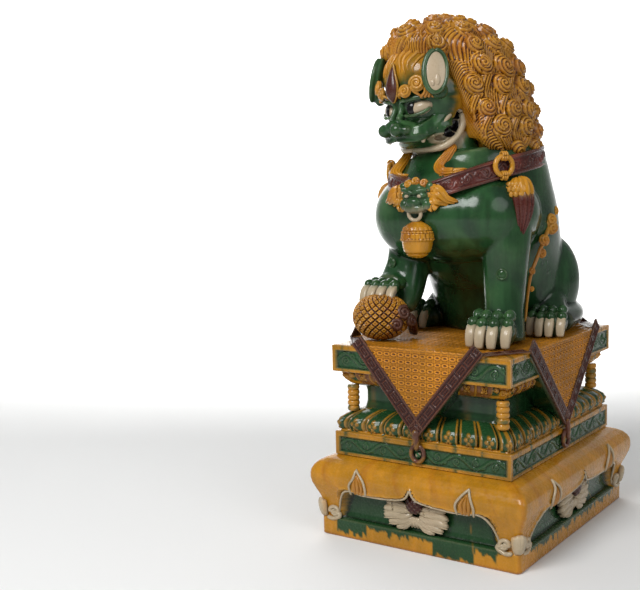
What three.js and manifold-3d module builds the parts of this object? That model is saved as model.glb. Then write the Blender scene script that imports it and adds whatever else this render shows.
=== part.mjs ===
// A glazed ceramic guardian lion seated on a draped pedestal, which stands on a low cushion-shaped plinth.
// Millimetres, +Z up. The origin is the centre of the plinth's underside, and the lion's chest faces -Y.
import * as THREE from "three";
import { mergeVertices } from "three/addons/utils/BufferGeometryUtils.js";
import Module from "manifold-3d";

const wasm = await Module();
wasm.setup();

// ---------- driving dimensions ----------
const GAP = 0.3; // clearance between two stacked ceramic pieces
const FOOT = { w: 660, d: 814, h: 55 }; // the plinth's plain foot band
const PLINTH_TOP = 249;
const LOW_SLAB = { w: 584, d: 755, z0: PLINTH_TOP + GAP, z1: 323 };
const WAIST = { w: 424, d: 606, z0: 380, z1: 470 };
const TOP_SLAB = { w: 588, d: 768, z0: 509, z1: 591 };
const CLOTH = { t: 7, frontHalf: 216, sideHalf: 272, frontTip: 333, sideTip: 322, border: 42 };
const CLOTH_TOP = TOP_SLAB.z1 + CLOTH.t;
const LION_BASE = CLOTH_TOP + GAP;
// `at` is the midpoint between the eyes, `yaw` the head's turn in degrees
const HEAD = { at: [-111, -258, 1287], yaw: -20 };

const MOST_FACES = { plinth: 1400, pedestal: 2100, lion: 6500 };

// ---------- helpers: three.js geometry in, manifold solid out, and back ----------
const rad = THREE.MathUtils.degToRad;
const { Manifold } = wasm;

function solid(geometry) {
  const bare = geometry.index ? geometry.toNonIndexed() : geometry.clone();
  for (const name of Object.keys(bare.attributes)) {
    if (name !== "position") bare.deleteAttribute(name);
  }
  const merged = mergeVertices(bare, 1e-3);
  const vertProperties = merged.attributes.position.array;
  const triVerts = new Uint32Array(merged.index.array);
  return new Manifold(new wasm.Mesh({ numProp: 3, vertProperties, triVerts }));
}

// Solid clay has no pockets: of the separate shells of a joined body,
// only the one with the most faces is kept.
function outerShell({ vertProperties, triVerts }) {
  const leader = Array.from({ length: vertProperties.length / 3 }, (_, i) => i);
  const find = (i) => {
    while (leader[i] !== i) {
      leader[i] = leader[leader[i]];
      i = leader[i];
    }
    return i;
  };
  for (let t = 0; t < triVerts.length; t += 3) {
    leader[find(triVerts[t])] = find(triVerts[t + 1]);
    leader[find(triVerts[t + 1])] = find(triVerts[t + 2]);
  }
  const faces = new Map();
  for (let t = 0; t < triVerts.length; t += 3) {
    const shell = find(triVerts[t]);
    faces.set(shell, [...(faces.get(shell) ?? []), triVerts[t], triVerts[t + 1], triVerts[t + 2]]);
  }
  const kept = [...faces.values()].sort((a, b) => b.length - a.length)[0];
  return { vertProperties, triVerts: new Uint32Array(kept) };
}

// Joins short or nearly flat edges until only `most` faces are left,
// those that change the form least first.
// An edge goes only where its ends have just two neighbours in common and no face around it turns over.
function fewerFaces({ vertProperties, triVerts }, most) {
  const at = Array.from({ length: vertProperties.length / 3 }, (_, i) =>
    new THREE.Vector3().fromArray(vertProperties, 3 * i),
  );
  const faces = Array.from(
    { length: triVerts.length / 3 },
    (_, i) => [...triVerts.slice(3 * i, 3 * i + 3)],
  );
  const around = at.map(() => new Set());
  faces.forEach((face, i) => face.forEach((v) => around[v].add(i)));
  const normal = (p, q, r) => q.clone().sub(p).cross(r.clone().sub(p));
  const planes = at.map(() => []);
  for (const [p, q, r] of faces) {
    const n = normal(at[p], at[q], at[r]);
    const area = n.length() || 1e-9;
    n.divideScalar(area);
    const plane = [n.x, n.y, n.z, -n.dot(at[p])];
    const terms = [];
    for (let i = 0; i < 4; i++) for (let j = i; j < 4; j++) terms.push(plane[i] * plane[j] * area);
    for (const v of [p, q, r]) {
      planes[v] = planes[v].length ? planes[v].map((t, i) => t + terms[i]) : [...terms];
    }
  }
  const error = (t, { x, y, z }) =>
    t[0] * x * x + 2 * t[1] * x * y + 2 * t[2] * x * z + 2 * t[3] * x + t[4] * y * y + 2 * t[5] * y * z +
    2 * t[6] * y + t[7] * z * z + 2 * t[8] * z + t[9];
  const age = at.map(() => 0);
  const heap = [];
  const swap = (i, j) => ([heap[i], heap[j]] = [heap[j], heap[i]]);
  const push = (entry) => {
    let i = heap.push(entry) - 1;
    while (i && heap[(i - 1) >> 1].cost > heap[i].cost) swap(i, (i = (i - 1) >> 1));
  };
  const pop = () => {
    const first = heap[0];
    const last = heap.pop();
    if (heap.length) heap[0] = last;
    for (let i = 0; ; ) {
      const [l, r] = [2 * i + 1, 2 * i + 2];
      let least = l < heap.length && heap[l].cost < heap[i].cost ? l : i;
      if (r < heap.length && heap[r].cost < heap[least].cost) least = r;
      if (least === i) break;
      swap(i, least);
      i = least;
    }
    return first;
  };
  const offer = (a, b) => {
    const terms = planes[a].map((t, i) => t + planes[b][i]);
    const spots = [at[a], at[b], at[a].clone().lerp(at[b], 0.5)];
    const costs = spots.map((spot) => error(terms, spot));
    const best = costs.indexOf(Math.min(...costs));
    const length = at[a].distanceToSquared(at[b]);
    push({ cost: costs[best] + 1e-4 * length, a, b, spot: spots[best].clone(), ages: [age[a], age[b]] });
  };
  const neighbours = (v) => new Set([...around[v]].flatMap((i) => faces[i]).filter((u) => u !== v));
  at.forEach((_, v) => neighbours(v).forEach((u) => u > v && offer(v, u)));
  let left = faces.length;
  while (left > most && heap.length) {
    const { a, b, spot, ages } = pop();
    if (age[a] !== ages[0] || age[b] !== ages[1]) continue;
    const near = neighbours(b);
    if ([...neighbours(a)].filter((v) => near.has(v)).length !== 2) continue;
    const turns = [...around[a], ...around[b]].some((i) => {
      const face = faces[i];
      if (face.includes(a) && face.includes(b)) return false;
      const before = normal(...face.map((v) => at[v])).normalize();
      const after = normal(...face.map((v) => (v === a || v === b ? spot : at[v])));
      return after.length() < 1e-3 || after.normalize().dot(before) < 0.4;
    });
    if (turns) continue;
    at[a].copy(spot);
    planes[a] = planes[a].map((t, i) => t + planes[b][i]);
    for (const i of around[b]) {
      if (faces[i].includes(a)) {
        faces[i].forEach((v) => v !== b && around[v].delete(i));
        faces[i] = null;
        left -= 1;
      } else {
        faces[i][faces[i].indexOf(b)] = a;
        around[a].add(i);
      }
    }
    around[b].clear();
    age[b] = -1;
    const ring = neighbours(a);
    [a, ...ring].forEach((v) => (age[v] += 1));
    const offered = new Set();
    for (const v of [a, ...ring]) {
      for (const u of neighbours(v)) {
        const key = Math.min(u, v) * at.length + Math.max(u, v);
        if (!offered.has(key)) offer(u, v);
        offered.add(key);
      }
    }
  }
  const used = new Map();
  const indices = faces.filter(Boolean).flat().map((v) => {
    if (!used.has(v)) used.set(v, used.size);
    return used.get(v);
  });
  const kept = [...used.keys()].flatMap((v) => at[v].toArray());
  return { vertProperties: new Float32Array(kept), triVerts: new Uint32Array(indices) };
}

function toMesh(name, body, most, material) {
  const { vertProperties, triVerts } = fewerFaces(outerShell(body.getMesh()), most);
  const geometry = new THREE.BufferGeometry();
  geometry.setAttribute("position", new THREE.BufferAttribute(vertProperties, 3));
  geometry.setIndex(new THREE.BufferAttribute(triVerts, 1));
  geometry.computeVertexNormals();
  const mesh = new THREE.Mesh(geometry, material);
  mesh.name = name;
  return mesh;
}

const union = (parts) => Manifold.union(parts.flat(Infinity));

function place(geometry, at = [0, 0, 0], turn = [0, 0, 0], scale = [1, 1, 1]) {
  const rotation = new THREE.Quaternion().setFromEuler(new THREE.Euler(...turn.map(rad), "XYZ"));
  const matrix = new THREE.Matrix4().compose(
    new THREE.Vector3(...at),
    rotation,
    new THREE.Vector3(...scale),
  );
  return geometry.applyMatrix4(matrix);
}

const ball = (at, radii, turn = [0, 0, 0], across = 14, up = 9) =>
  solid(place(new THREE.SphereGeometry(1, across, up), at, turn, radii));

const box = (lo, hi) => {
  const size = hi.map((v, i) => v - lo[i]);
  const middle = hi.map((v, i) => (v + lo[i]) / 2);
  return solid(place(new THREE.BoxGeometry(...size), middle));
};

// A closed skin over rings of equal length, with a fan over the first and the last ring.
function skin(rings, closed = false) {
  const count = rings[0].length;
  const points = rings.flat();
  const faces = [];
  const spans = closed ? rings.length : rings.length - 1;
  for (let i = 0; i < spans; i++) {
    const a = i * count;
    const b = ((i + 1) % rings.length) * count;
    for (let j = 0; j < count; j++) {
      const k = (j + 1) % count;
      faces.push(a + j, a + k, b + k, a + j, b + k, b + j);
    }
  }
  if (!closed) {
    for (const [ring, flip] of [[0, true], [rings.length - 1, false]]) {
      const hub = points.length;
      const centre = new THREE.Vector3();
      rings[ring].forEach((p) => centre.add(p));
      points.push(centre.divideScalar(count));
      for (let j = 0; j < count; j++) {
        const p = ring * count + j;
        const q = ring * count + ((j + 1) % count);
        faces.push(...(flip ? [hub, q, p] : [hub, p, q]));
      }
    }
  }
  const geometry = new THREE.BufferGeometry().setFromPoints(points);
  geometry.setIndex(faces);
  const made = solid(geometry);
  if (made.volume() > 0) return made;
  for (let i = 0; i < faces.length; i += 3) {
    [faces[i + 1], faces[i + 2]] = [faces[i + 2], faces[i + 1]];
  }
  geometry.setIndex(faces);
  return solid(geometry);
}

// A limb, lock or horn: an elliptical section that follows a smooth path.
// Each stop is [x, y, z, side, depth].
function limb(stops, rings = 8, sides = 12) {
  const path = new THREE.CatmullRomCurve3(stops.map(([x, y, z]) => new THREE.Vector3(x, y, z)));
  const sizes = new THREE.CatmullRomCurve3(stops.map((s) => new THREE.Vector3(s[3], s[4], 0)));
  const made = [];
  for (let i = 0; i <= rings; i++) {
    const t = i / rings;
    const at = path.getPoint(t);
    const size = sizes.getPoint(t);
    const along = path.getTangent(t);
    const depthAxis = new THREE.Vector3(1, 0, 0).cross(along).normalize();
    const sideAxis = along.clone().cross(depthAxis).normalize();
    made.push(
      Array.from({ length: sides }, (_, j) => {
        const a = (j / sides) * 2 * Math.PI;
        return at
          .clone()
          .addScaledVector(sideAxis, Math.cos(a) * size.x)
          .addScaledVector(depthAxis, Math.sin(a) * size.y);
      }),
    );
  }
  return skin(made);
}

// A plate of a drawn outline. It is drawn in (u, z) and stands from the plane `from` out to `to` along -Y.
function plate(outline, from, to, steps = 6) {
  const geometry = new THREE.ExtrudeGeometry(outline, {
    depth: from - to,
    bevelEnabled: false,
    curveSegments: steps,
  });
  return solid(place(geometry, [0, from, 0], [90, 0, 0]));
}

// Turns what was made for the front (-Y) face to one of the four faces:
// 0 front, 1 left (+X), 2 back, 3 right (-X).
const toFace = (body, face) => body.rotate([0, 0, 90 * face]);

const mirrorX = (body) => body.mirror([1, 0, 0]);

// A rectangle with round corners, grown by `out` on every side, at height z.
function rectangleRing(w, d, corner, out, z, arcSteps = 4) {
  const r = Math.max(corner + out, 2);
  const ring = [];
  const x = w / 2 + out - r;
  const y = d / 2 + out - r;
  [[x, y], [-x, y], [-x, -y], [x, -y]].forEach(([cx, cy], q) => {
    for (let i = 0; i <= arcSteps; i++) {
      const a = ((q + i / arcSteps) * Math.PI) / 2;
      ring.push(new THREE.Vector3(cx + r * Math.cos(a), cy + r * Math.sin(a), z));
    }
  });
  return ring;
}

const rectangleLoft = (w, d, corner, profile, arcSteps) =>
  skin(profile.map(([z, out]) => rectangleRing(w, d, corner, out, z, arcSteps)));

// ---------- plinth ----------
const APRON = { panel: 24, rise: 160, ogee: 190, leafTip: 222, leafOut: 6 };
const CUSHION = [
  [FOOT.h - 1, -8], [85, -6], [125, 7], [165, 25], [195, 27], [218, 17], [236, -4], [PLINTH_TOP, -34],
];

// The scalloped opening under the cushion's skirt, for a face whose half width is `half`.
function scallop(half) {
  const s = half / 330;
  const shape = new THREE.Shape();
  shape.moveTo(-286 * s, FOOT.h);
  shape.bezierCurveTo(-262 * s, 100, -276 * s, 140, -215 * s, APRON.rise);
  shape.lineTo(-26 * s, APRON.rise - 2);
  shape.lineTo(0, APRON.ogee);
  shape.lineTo(26 * s, APRON.rise - 2);
  shape.lineTo(215 * s, APRON.rise);
  shape.bezierCurveTo(276 * s, 140, 262 * s, 100, 286 * s, FOOT.h);
  return shape;
}

// A pointed leaf: its middle is at u, its foot at z0 and its tip, leaning by `lean`, at z1.
function leaf(u, halfWidth, z0, z1, lean) {
  const shape = new THREE.Shape();
  shape.moveTo(u - halfWidth, z0);
  shape.quadraticCurveTo(u - halfWidth * 0.8, (z0 + z1) / 2, u + lean, z1);
  shape.quadraticCurveTo(u + halfWidth, (z0 + z1) / 2, u + halfWidth, z0);
  shape.closePath();
  return shape;
}

// The lotus is two spread wings of petals under a seed pod, standing on the sunk panel.
function lotus(face) {
  const panel = -face + APRON.panel;
  const wings = new THREE.Shape();
  wings.moveTo(0, 66);
  const tips = [[52, 72], [86, 92], [108, 116], [114, 142]];
  const notches = [[64, 86], [86, 112], [92, 134]];
  const right = tips.flatMap((tip, i) => (notches[i] ? [tip, notches[i]] : [tip]));
  right.forEach(([u, z]) => wings.lineTo(u, z));
  wings.lineTo(0, 138);
  right.reverse().forEach(([u, z]) => wings.lineTo(-u, z));
  wings.closePath();
  const pod = ball([0, panel - 8, 146], [25, 22, 24], [0, 0, 0], 6, 4);
  return union([plate(wings, panel + 4, panel - 15), pod]);
}

function cornerFoot(sx, sy) {
  const at = [sx * (FOOT.w / 2 - 8), sy * (FOOT.d / 2 - 8)];
  return union([
    ball([...at, 84], [25, 25, 32], [0, 0, 0], 6, 4),
    ball([at[0] - sx * 34, at[1] + sy, 76], [15, 14, 18], [0, 0, 0], 5, 3),
    ball([at[0] + sx, at[1] - sy * 34, 76], [14, 15, 18], [0, 0, 0], 5, 3),
  ]);
}

function plinth() {
  const foot = box([-FOOT.w / 2, -FOOT.d / 2, 0], [FOOT.w / 2, FOOT.d / 2, FOOT.h]);
  const grown = rectangleLoft(FOOT.w, FOOT.d, 12, CUSHION.map(([z, out]) => [z, out + APRON.leafOut]), 3);
  let body = union([foot, rectangleLoft(FOOT.w, FOOT.d, 12, CUSHION, 3)]);
  for (const side of [0, 1, 2, 3]) {
    const [width, face] = side % 2 ? [FOOT.d, FOOT.w / 2] : [FOOT.w, FOOT.d / 2];
    const reach = (170 * width) / FOOT.w;
    const opening = plate(scallop(width / 2), -face + APRON.panel, -face - 90, 3);
    const leaves = [-1, 1].map((s) =>
      plate(leaf(s * reach, 25, APRON.rise - 16, APRON.leafTip, s * 8), -face, -face - 60, 2),
    );
    const relief = toFace(union(leaves), side).intersect(grown);
    body = body.subtract(toFace(opening, side)).add(relief).add(toFace(lotus(face), side));
  }
  const floor = box([-500, -500, -50], [500, 500, FOOT.h - 3]);
  const corners = [[1, 1], [1, -1], [-1, 1], [-1, -1]].map(([sx, sy]) => cornerFoot(sx, sy));
  return body.add(union(corners).subtract(floor));
}

// ---------- pedestal ----------
const FRAME = { edge: 11, sunk: 4 }; // a slab's raised rim and how deep its carved panel lies
const PETAL = { pitch: 96, relief: 10 }; // the lotus cushion is gadrooned: one lobe to every pitch

function panelledSlab({ w, d, z0, z1 }) {
  let slab = box([-w / 2, -d / 2, z0], [w / 2, d / 2, z1]);
  for (const side of [0, 1, 2, 3]) {
    const [half, face] = side % 2 ? [d / 2, w / 2] : [w / 2, d / 2];
    const panel = box(
      [-half + FRAME.edge, -face - 10, z0 + FRAME.edge],
      [half - FRAME.edge, -face + FRAME.sunk, z1 - FRAME.edge - 6],
    );
    slab = slab.subtract(toFace(panel, side));
  }
  return slab;
}

// One level of the lotus cushion, a rectangle whose sides go in and out with the petals.
function petalRing(w, d, out, relief, z) {
  const ring = [];
  const corners = [[1, -1], [1, 1], [-1, 1], [-1, -1]]
    .map(([sx, sy]) => [sx * (w / 2 + out), sy * (d / 2 + out)]);
  corners.forEach(([x0, y0], i) => {
    const [x1, y1] = corners[(i + 1) % 4];
    const length = Math.hypot(x1 - x0, y1 - y0);
    const count = 2 * Math.round((i % 2 ? w : d) / PETAL.pitch);
    const normal = [(y1 - y0) / length, -(x1 - x0) / length];
    for (let k = 0; k < count; k++) {
      const t = k / count;
      const inward = k % 2 ? 0 : k ? relief : relief * 0.6;
      ring.push(
        new THREE.Vector3(
          x0 + (x1 - x0) * t - normal[0] * inward,
          y0 + (y1 - y0) * t - normal[1] * inward,
          z,
        ),
      );
    }
  });
  return ring;
}

function lotusCushion() {
  const levels = [
    [LOW_SLAB.z1 - 1, -10, 3], [346, -2, 10], [368, -14, 10], [390, -52, 2],
  ];
  return skin(levels.map(([z, out, relief]) => petalRing(LOW_SLAB.w, LOW_SLAB.d, out, relief, z)));
}

function baluster(x, y) {
  const beads = 4;
  const [z0, z1] = [384, 464];
  const profile = [new THREE.Vector2(0, z0), new THREE.Vector2(14, z0)];
  for (let i = 0; i < beads; i++) {
    profile.push(new THREE.Vector2(19.5, z0 + ((z1 - z0) * (i + 0.5)) / beads));
    profile.push(new THREE.Vector2(14, z0 + ((z1 - z0) * (i + 1)) / beads));
  }
  profile.push(new THREE.Vector2(0, z1));
  return solid(place(new THREE.LatheGeometry(profile, 6), [x, y, 0], [90, 0, 0]));
}

// One hanging corner of the cloth, on a wedge of clay that joins it to the waist, with its knotted loop.
function flap(halfTop, tip, face, waistFace, slabFace) {
  const triangle = (half, low) => {
    const shape = new THREE.Shape();
    shape.moveTo(-half, CLOTH_TOP);
    shape.lineTo(0, low);
    shape.lineTo(half, CLOTH_TOP);
    shape.closePath();
    return shape;
  };
  const slope = Math.hypot(halfTop, CLOTH_TOP - tip) / halfTop;
  const fieldTip = tip + CLOTH.border * slope;
  const fieldHalf = (halfTop * (CLOTH_TOP - fieldTip)) / (CLOTH_TOP - tip);
  const cloth = plate(triangle(halfTop, tip), -waistFace, -face - CLOTH.t - 3);
  const field = plate(triangle(fieldHalf, fieldTip), -face - CLOTH.t, -face - 40);
  const loop = solid(place(new THREE.TorusGeometry(20, 8.5, 4, 8), [0, -slabFace - 3, 292], [90, 0, 0]));
  const knot = ball([0, -slabFace - 5, tip - 5], [13, 11, 26], [0, 0, 0], 6, 4);
  return union([cloth.subtract(field), loop, knot]);
}

function clothTop() {
  const outline = new THREE.Shape();
  const [fx, fy] = [CLOTH.frontHalf, TOP_SLAB.d / 2 + 2];
  const [sx, sy] = [TOP_SLAB.w / 2 + 2, CLOTH.sideHalf];
  const corners = [[fx, -fy], [sx, -sy], [sx, sy], [fx, fy], [-fx, fy], [-sx, sy], [-sx, -sy], [-fx, -fy]];
  corners.forEach(([x, y], i) => (i ? outline.lineTo(x, y) : outline.moveTo(x, y)));
  const geometry = new THREE.ExtrudeGeometry(outline, { depth: CLOTH.t + 1, bevelEnabled: false });
  return solid(place(geometry, [0, 0, TOP_SLAB.z1 - 1]));
}

function pedestal() {
  const waist = box([-WAIST.w / 2, -WAIST.d / 2, WAIST.z0], [WAIST.w / 2, WAIST.d / 2, WAIST.z1]);
  const capital = rectangleLoft(LOW_SLAB.w, LOW_SLAB.d, 12, [
    [458, -56], [470, -34], [492, -20], [TOP_SLAB.z0 + 1, -14],
  ], 1);
  const posts = [[1, 1], [1, -1], [-1, 1], [-1, -1]].map(([x, y]) => baluster(x * 249, y * 338));
  const flaps = [0, 1, 2, 3].map((side) =>
    side % 2
      ? toFace(flap(CLOTH.sideHalf, CLOTH.sideTip, TOP_SLAB.w / 2, WAIST.w / 2 - 4, LOW_SLAB.w / 2), side)
      : toFace(
        flap(CLOTH.frontHalf, CLOTH.frontTip, TOP_SLAB.d / 2, WAIST.d / 2 - 4, LOW_SLAB.d / 2),
        side,
      ),
  );
  return union([
    panelledSlab(LOW_SLAB), lotusCushion(), waist, posts, capital,
    panelledSlab(TOP_SLAB), clothTop(), flaps,
  ]);
}

// ---------- lion: body ----------
const LEG = { x: 166, y: -142 }; // the straight left foreleg's axis
const BALL = { at: [-188, -268, 668], radii: [86, 82, 71] };
const TOE_PITCH = 35;
const TOES = [-1.5, -0.5, 0.5, 1.5];

// A paw with its heel at (x, y) on the ground, its toes towards -Y and turned by `turn` degrees.
function paw(x, y, turn, size = 1) {
  const toes = TOES.map((k) => {
    const u = k * TOE_PITCH;
    const lag = 10 * k * k;
    const stops = [
      [u * 0.8, -22, 78, 14, 14], [u, -60 + lag, 84, 17, 18],
      [u, -92 + lag, 58, 16, 16], [u, -106 + lag, -4, 12, 9],
    ];
    return limb(stops, 6, 8);
  });
  const pad = ball([0, -24, 40], [64, 66, 56], [0, 0, 0], 12, 8);
  return union([pad, toes]).scale(size).rotate([0, 0, turn]).translate([x, y, LION_BASE]);
}

function straightForeleg() {
  const { x, y } = LEG;
  const stops = [
    [x - 10, y + 24, 1000, 84, 100],
    [x, y + 4, 890, 72, 80],
    [x, y - 2, 790, 64, 65],
    [x + 2, y - 12, 690, 58, 60],
    [x + 2, y - 20, LION_BASE - 4, 66, 74],
  ];
  return limb(stops, 7, 12);
}

function bentForeleg() {
  const stops = [
    [-172, -90, 1000, 82, 100],
    [-184, -96, 890, 65, 78],
    [-190, -112, 822, 60, 62],
    [-196, -150, 768, 60, 52],
    [-203, -200, 744, 58, 40],
  ];
  const toes = TOES.map((k) => {
    const x = -203 + k * 31;
    const lag = Math.abs(k) * 9;
    return limb([
      [x, -196 + lag, 756, 14, 14], [x, -234 + lag, 772, 17, 18],
      [x, -266 + lag, 746, 14, 13], [x, -286 + lag, 700, 9, 8],
    ], 6, 8);
  });
  return union([limb(stops, 7, 10), toes]);
}

function haunch() {
  const thigh = ball([150, 188, 748], [84, 126, 158], [0, 0, -29], 16, 11);
  const instep = limb([[166, 158, 700, 60, 60], [196, 100, 640, 62, 44], [216, 40, 632, 56, 38]], 4, 10);
  const sole = limb([[168, 322, 640, 60, 42], [192, 220, 638, 70, 46], [216, 100, 630, 58, 40]], 4, 10);
  return union([thigh, instep, sole, paw(224, 62, 8, 0.88)]);
}

function trunk() {
  const torso = [
    [-4, 206, 560, 196, 164],
    [-4, 178, 700, 214, 194],
    [-8, 132, 830, 226, 216],
    [-10, 72, 930, 240, 236],
    [-12, 26, 1020, 240, 236],
    [-16, 0, 1110, 232, 226],
    [-24, -8, 1180, 200, 196],
  ];
  const bib = [[-30, -130, 1020, 178, 150], [-40, -110, 1090, 160, 128], [-52, -96, 1150, 128, 104]];
  return union([
    limb(torso, 10, 24),
    limb(bib, 4, 18),
    ball([-8, -86, 974], [240, 212, 150], [0, 0, 0], 24, 14), // chest
    ball([100, -100, 974], [142, 176, 140], [0, 0, 0], 18, 12), // left shoulder
    ball([-126, -96, 972], [150, 180, 142], [0, 0, 0], 18, 12), // right shoulder
  ]);
}

// The tail lies up the back, its three pairs of curls drawn as swellings.
function tail() {
  const stops = [0, 1, 2, 3, 4, 5, 6].map((i) => {
    const swelling = i % 2 ? 66 : 50;
    const back = 330 + 18 * Math.sin(i / 2) - (i === 6 ? 26 : 0);
    return [-6, back, 636 + i * 54, i === 6 ? 16 : swelling, i === 6 ? 12 : 34];
  });
  return limb(stops, 12, 8);
}

// Locks of hair that run down behind each foreleg.
function flankLocks(side) {
  const stops = [
    [side * 214, 84, 985, 10, 12], [side * 222, 52, 955, 22, 26],
    [side * 220, 24, 925, 14, 16], [side * 220, -4, 890, 22, 26],
    [side * 214, -36, 855, 12, 14], [side * 208, -70, 780, 9, 12], [side * 204, -84, 650, 7, 9],
  ];
  return limb(stops, 9, 6);
}

// ---------- lion: harness ----------
const COLLAR = { cx: -14, cy: -32, rx: 232, ry: 272, low: 1038, rise: 114, lean: 14, tall: 56 };

// A point of the collar's middle line at an angle counted from the chest, and its height there.
function collarPoint(angle, out = 0, up = 0) {
  const share = (1 - Math.cos(angle)) / 2;
  return new THREE.Vector3(
    COLLAR.cx + (COLLAR.rx + out) * Math.sin(angle),
    COLLAR.cy - (COLLAR.ry + out) * Math.cos(angle),
    COLLAR.low + COLLAR.rise * Math.pow(share, 0.45) + COLLAR.lean * Math.sin(angle) + up,
  );
}

function collar() {
  const steps = 30;
  const half = COLLAR.tall / 2;
  const rings = Array.from({ length: steps }, (_, i) => {
    const a = (i / steps) * 2 * Math.PI;
    return [
      collarPoint(a, -70, half), collarPoint(a, -8, half), collarPoint(a, 2, -half + 2),
      collarPoint(a, -10, -half), collarPoint(a, -70, -half),
    ];
  });
  return skin(rings, true);
}

function chestMask() {
  const [x, y, z] = [-38, -302, 1020];
  const wing = (s) =>
    limb([
      [x + s * 16, y + 8, z + 14, 34, 15], [x + s * 66, y + 10, z, 18, 13],
      [x + s * 112, y + 30, z - 12, 4, 5],
    ], 2, 5);
  const face = ball([x, y, z], [36, 22, 46], [0, 0, 0], 8, 6);
  const ring = solid(place(new THREE.TorusGeometry(21, 6, 4, 7), [x, y - 2, z - 38], [84, 0, 0]));
  const bell = limb([
    [x, y + 6, z - 30, 12, 10], [x, y + 8, z - 62, 13, 12], [x, y + 8, z - 78, 38, 34],
    [x, y + 8, z - 112, 48, 44], [x, y + 8, z - 146, 42, 38], [x, y + 8, z - 166, 18, 16],
  ], 8, 10);
  return union([wing(-1), wing(1), face, ring, bell]);
}

// A ring on the collar with a capped tassel under it, at an angle counted from the chest.
function tassel(angle) {
  const hook = collarPoint(angle, 6, 10);
  const out = new THREE.Vector3(Math.sin(angle), -Math.cos(angle), 0);
  const turn = THREE.MathUtils.radToDeg(angle);
  const ring = solid(place(new THREE.TorusGeometry(27, 8, 4, 9), hook.toArray(), [90, 0, turn]));
  const stop = (drop, push, r) => [hook.x + out.x * push, hook.y + out.y * push, hook.z - drop, r, r * 0.8];
  const hanging = [
    stop(24, 0, 12), stop(50, 4, 32), stop(88, 5, 31), stop(104, 2, 25),
    stop(160, -4, 18), stop(208, -10, 5),
  ];
  return union([ring, limb(hanging, 7, 7)]);
}

// ---------- lion: head and mane ----------
const inHead = (body) => body.rotate([0, 0, HEAD.yaw]).translate(HEAD.at);

// The mane is a dome whose level rings lean forward as they rise: [z, centre x, centre y, radius].
const MANE = [
  [1146, -22, -4, 206],
  [1172, -26, -14, 226],
  [1215, -28, -22, 232],
  [1320, -33, -34, 220],
  [1420, -38, -60, 204],
  [1485, -40, -80, 184],
  [1532, -40, -94, 150],
  [1566, -38, -103, 100],
  [1578, -36, -106, 40],
];
const CURL = { rows: 7, around: 16, high: 24 };

const maneMiddles = new THREE.CatmullRomCurve3(MANE.map(([z, x, y]) => new THREE.Vector3(x, y, z)));
const maneSizes = new THREE.CatmullRomCurve3(MANE.map((m) => new THREE.Vector3(m[3], m[0], 0)));

// A point of the mane's skin: `height` runs from 0 at its hem to 1 at its top,
// `angle` is counted from the face.
function manePoint(height, angle, out = 0) {
  const step = maneSizes.getUtoTmapping(height);
  const [c, size] = [maneMiddles.getPoint(step), maneSizes.getPoint(step)];
  const slope = maneSizes.getTangent(step);
  const a = angle + rad(HEAD.yaw);
  const r = size.x + out * slope.y;
  return new THREE.Vector3(c.x + r * Math.sin(a), c.y - r * Math.cos(a), c.z - out * slope.x);
}

// How far the dome draws back behind the face, or hangs forward over the forehead,
// at an angle counted from the face.
function faceRoom(height, angle) {
  const away = Math.abs(THREE.MathUtils.euclideanModulo(THREE.MathUtils.radToDeg(angle) + 180, 360) - 180);
  const reach = THREE.MathUtils.lerp(66, 42, Math.min(height / 0.5, 1));
  const open = 1 - THREE.MathUtils.smoothstep(away, reach - 16, reach + 2);
  const above = THREE.MathUtils.smoothstep(height, 0.5, 0.57);
  const hang = 1 - THREE.MathUtils.smoothstep(height, 0.62, 1);
  const fringe = 26 * above * Math.exp(-((away / 52) ** 2)) * hang;
  return open * 120 * (1 - above) - fringe;
}

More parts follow.
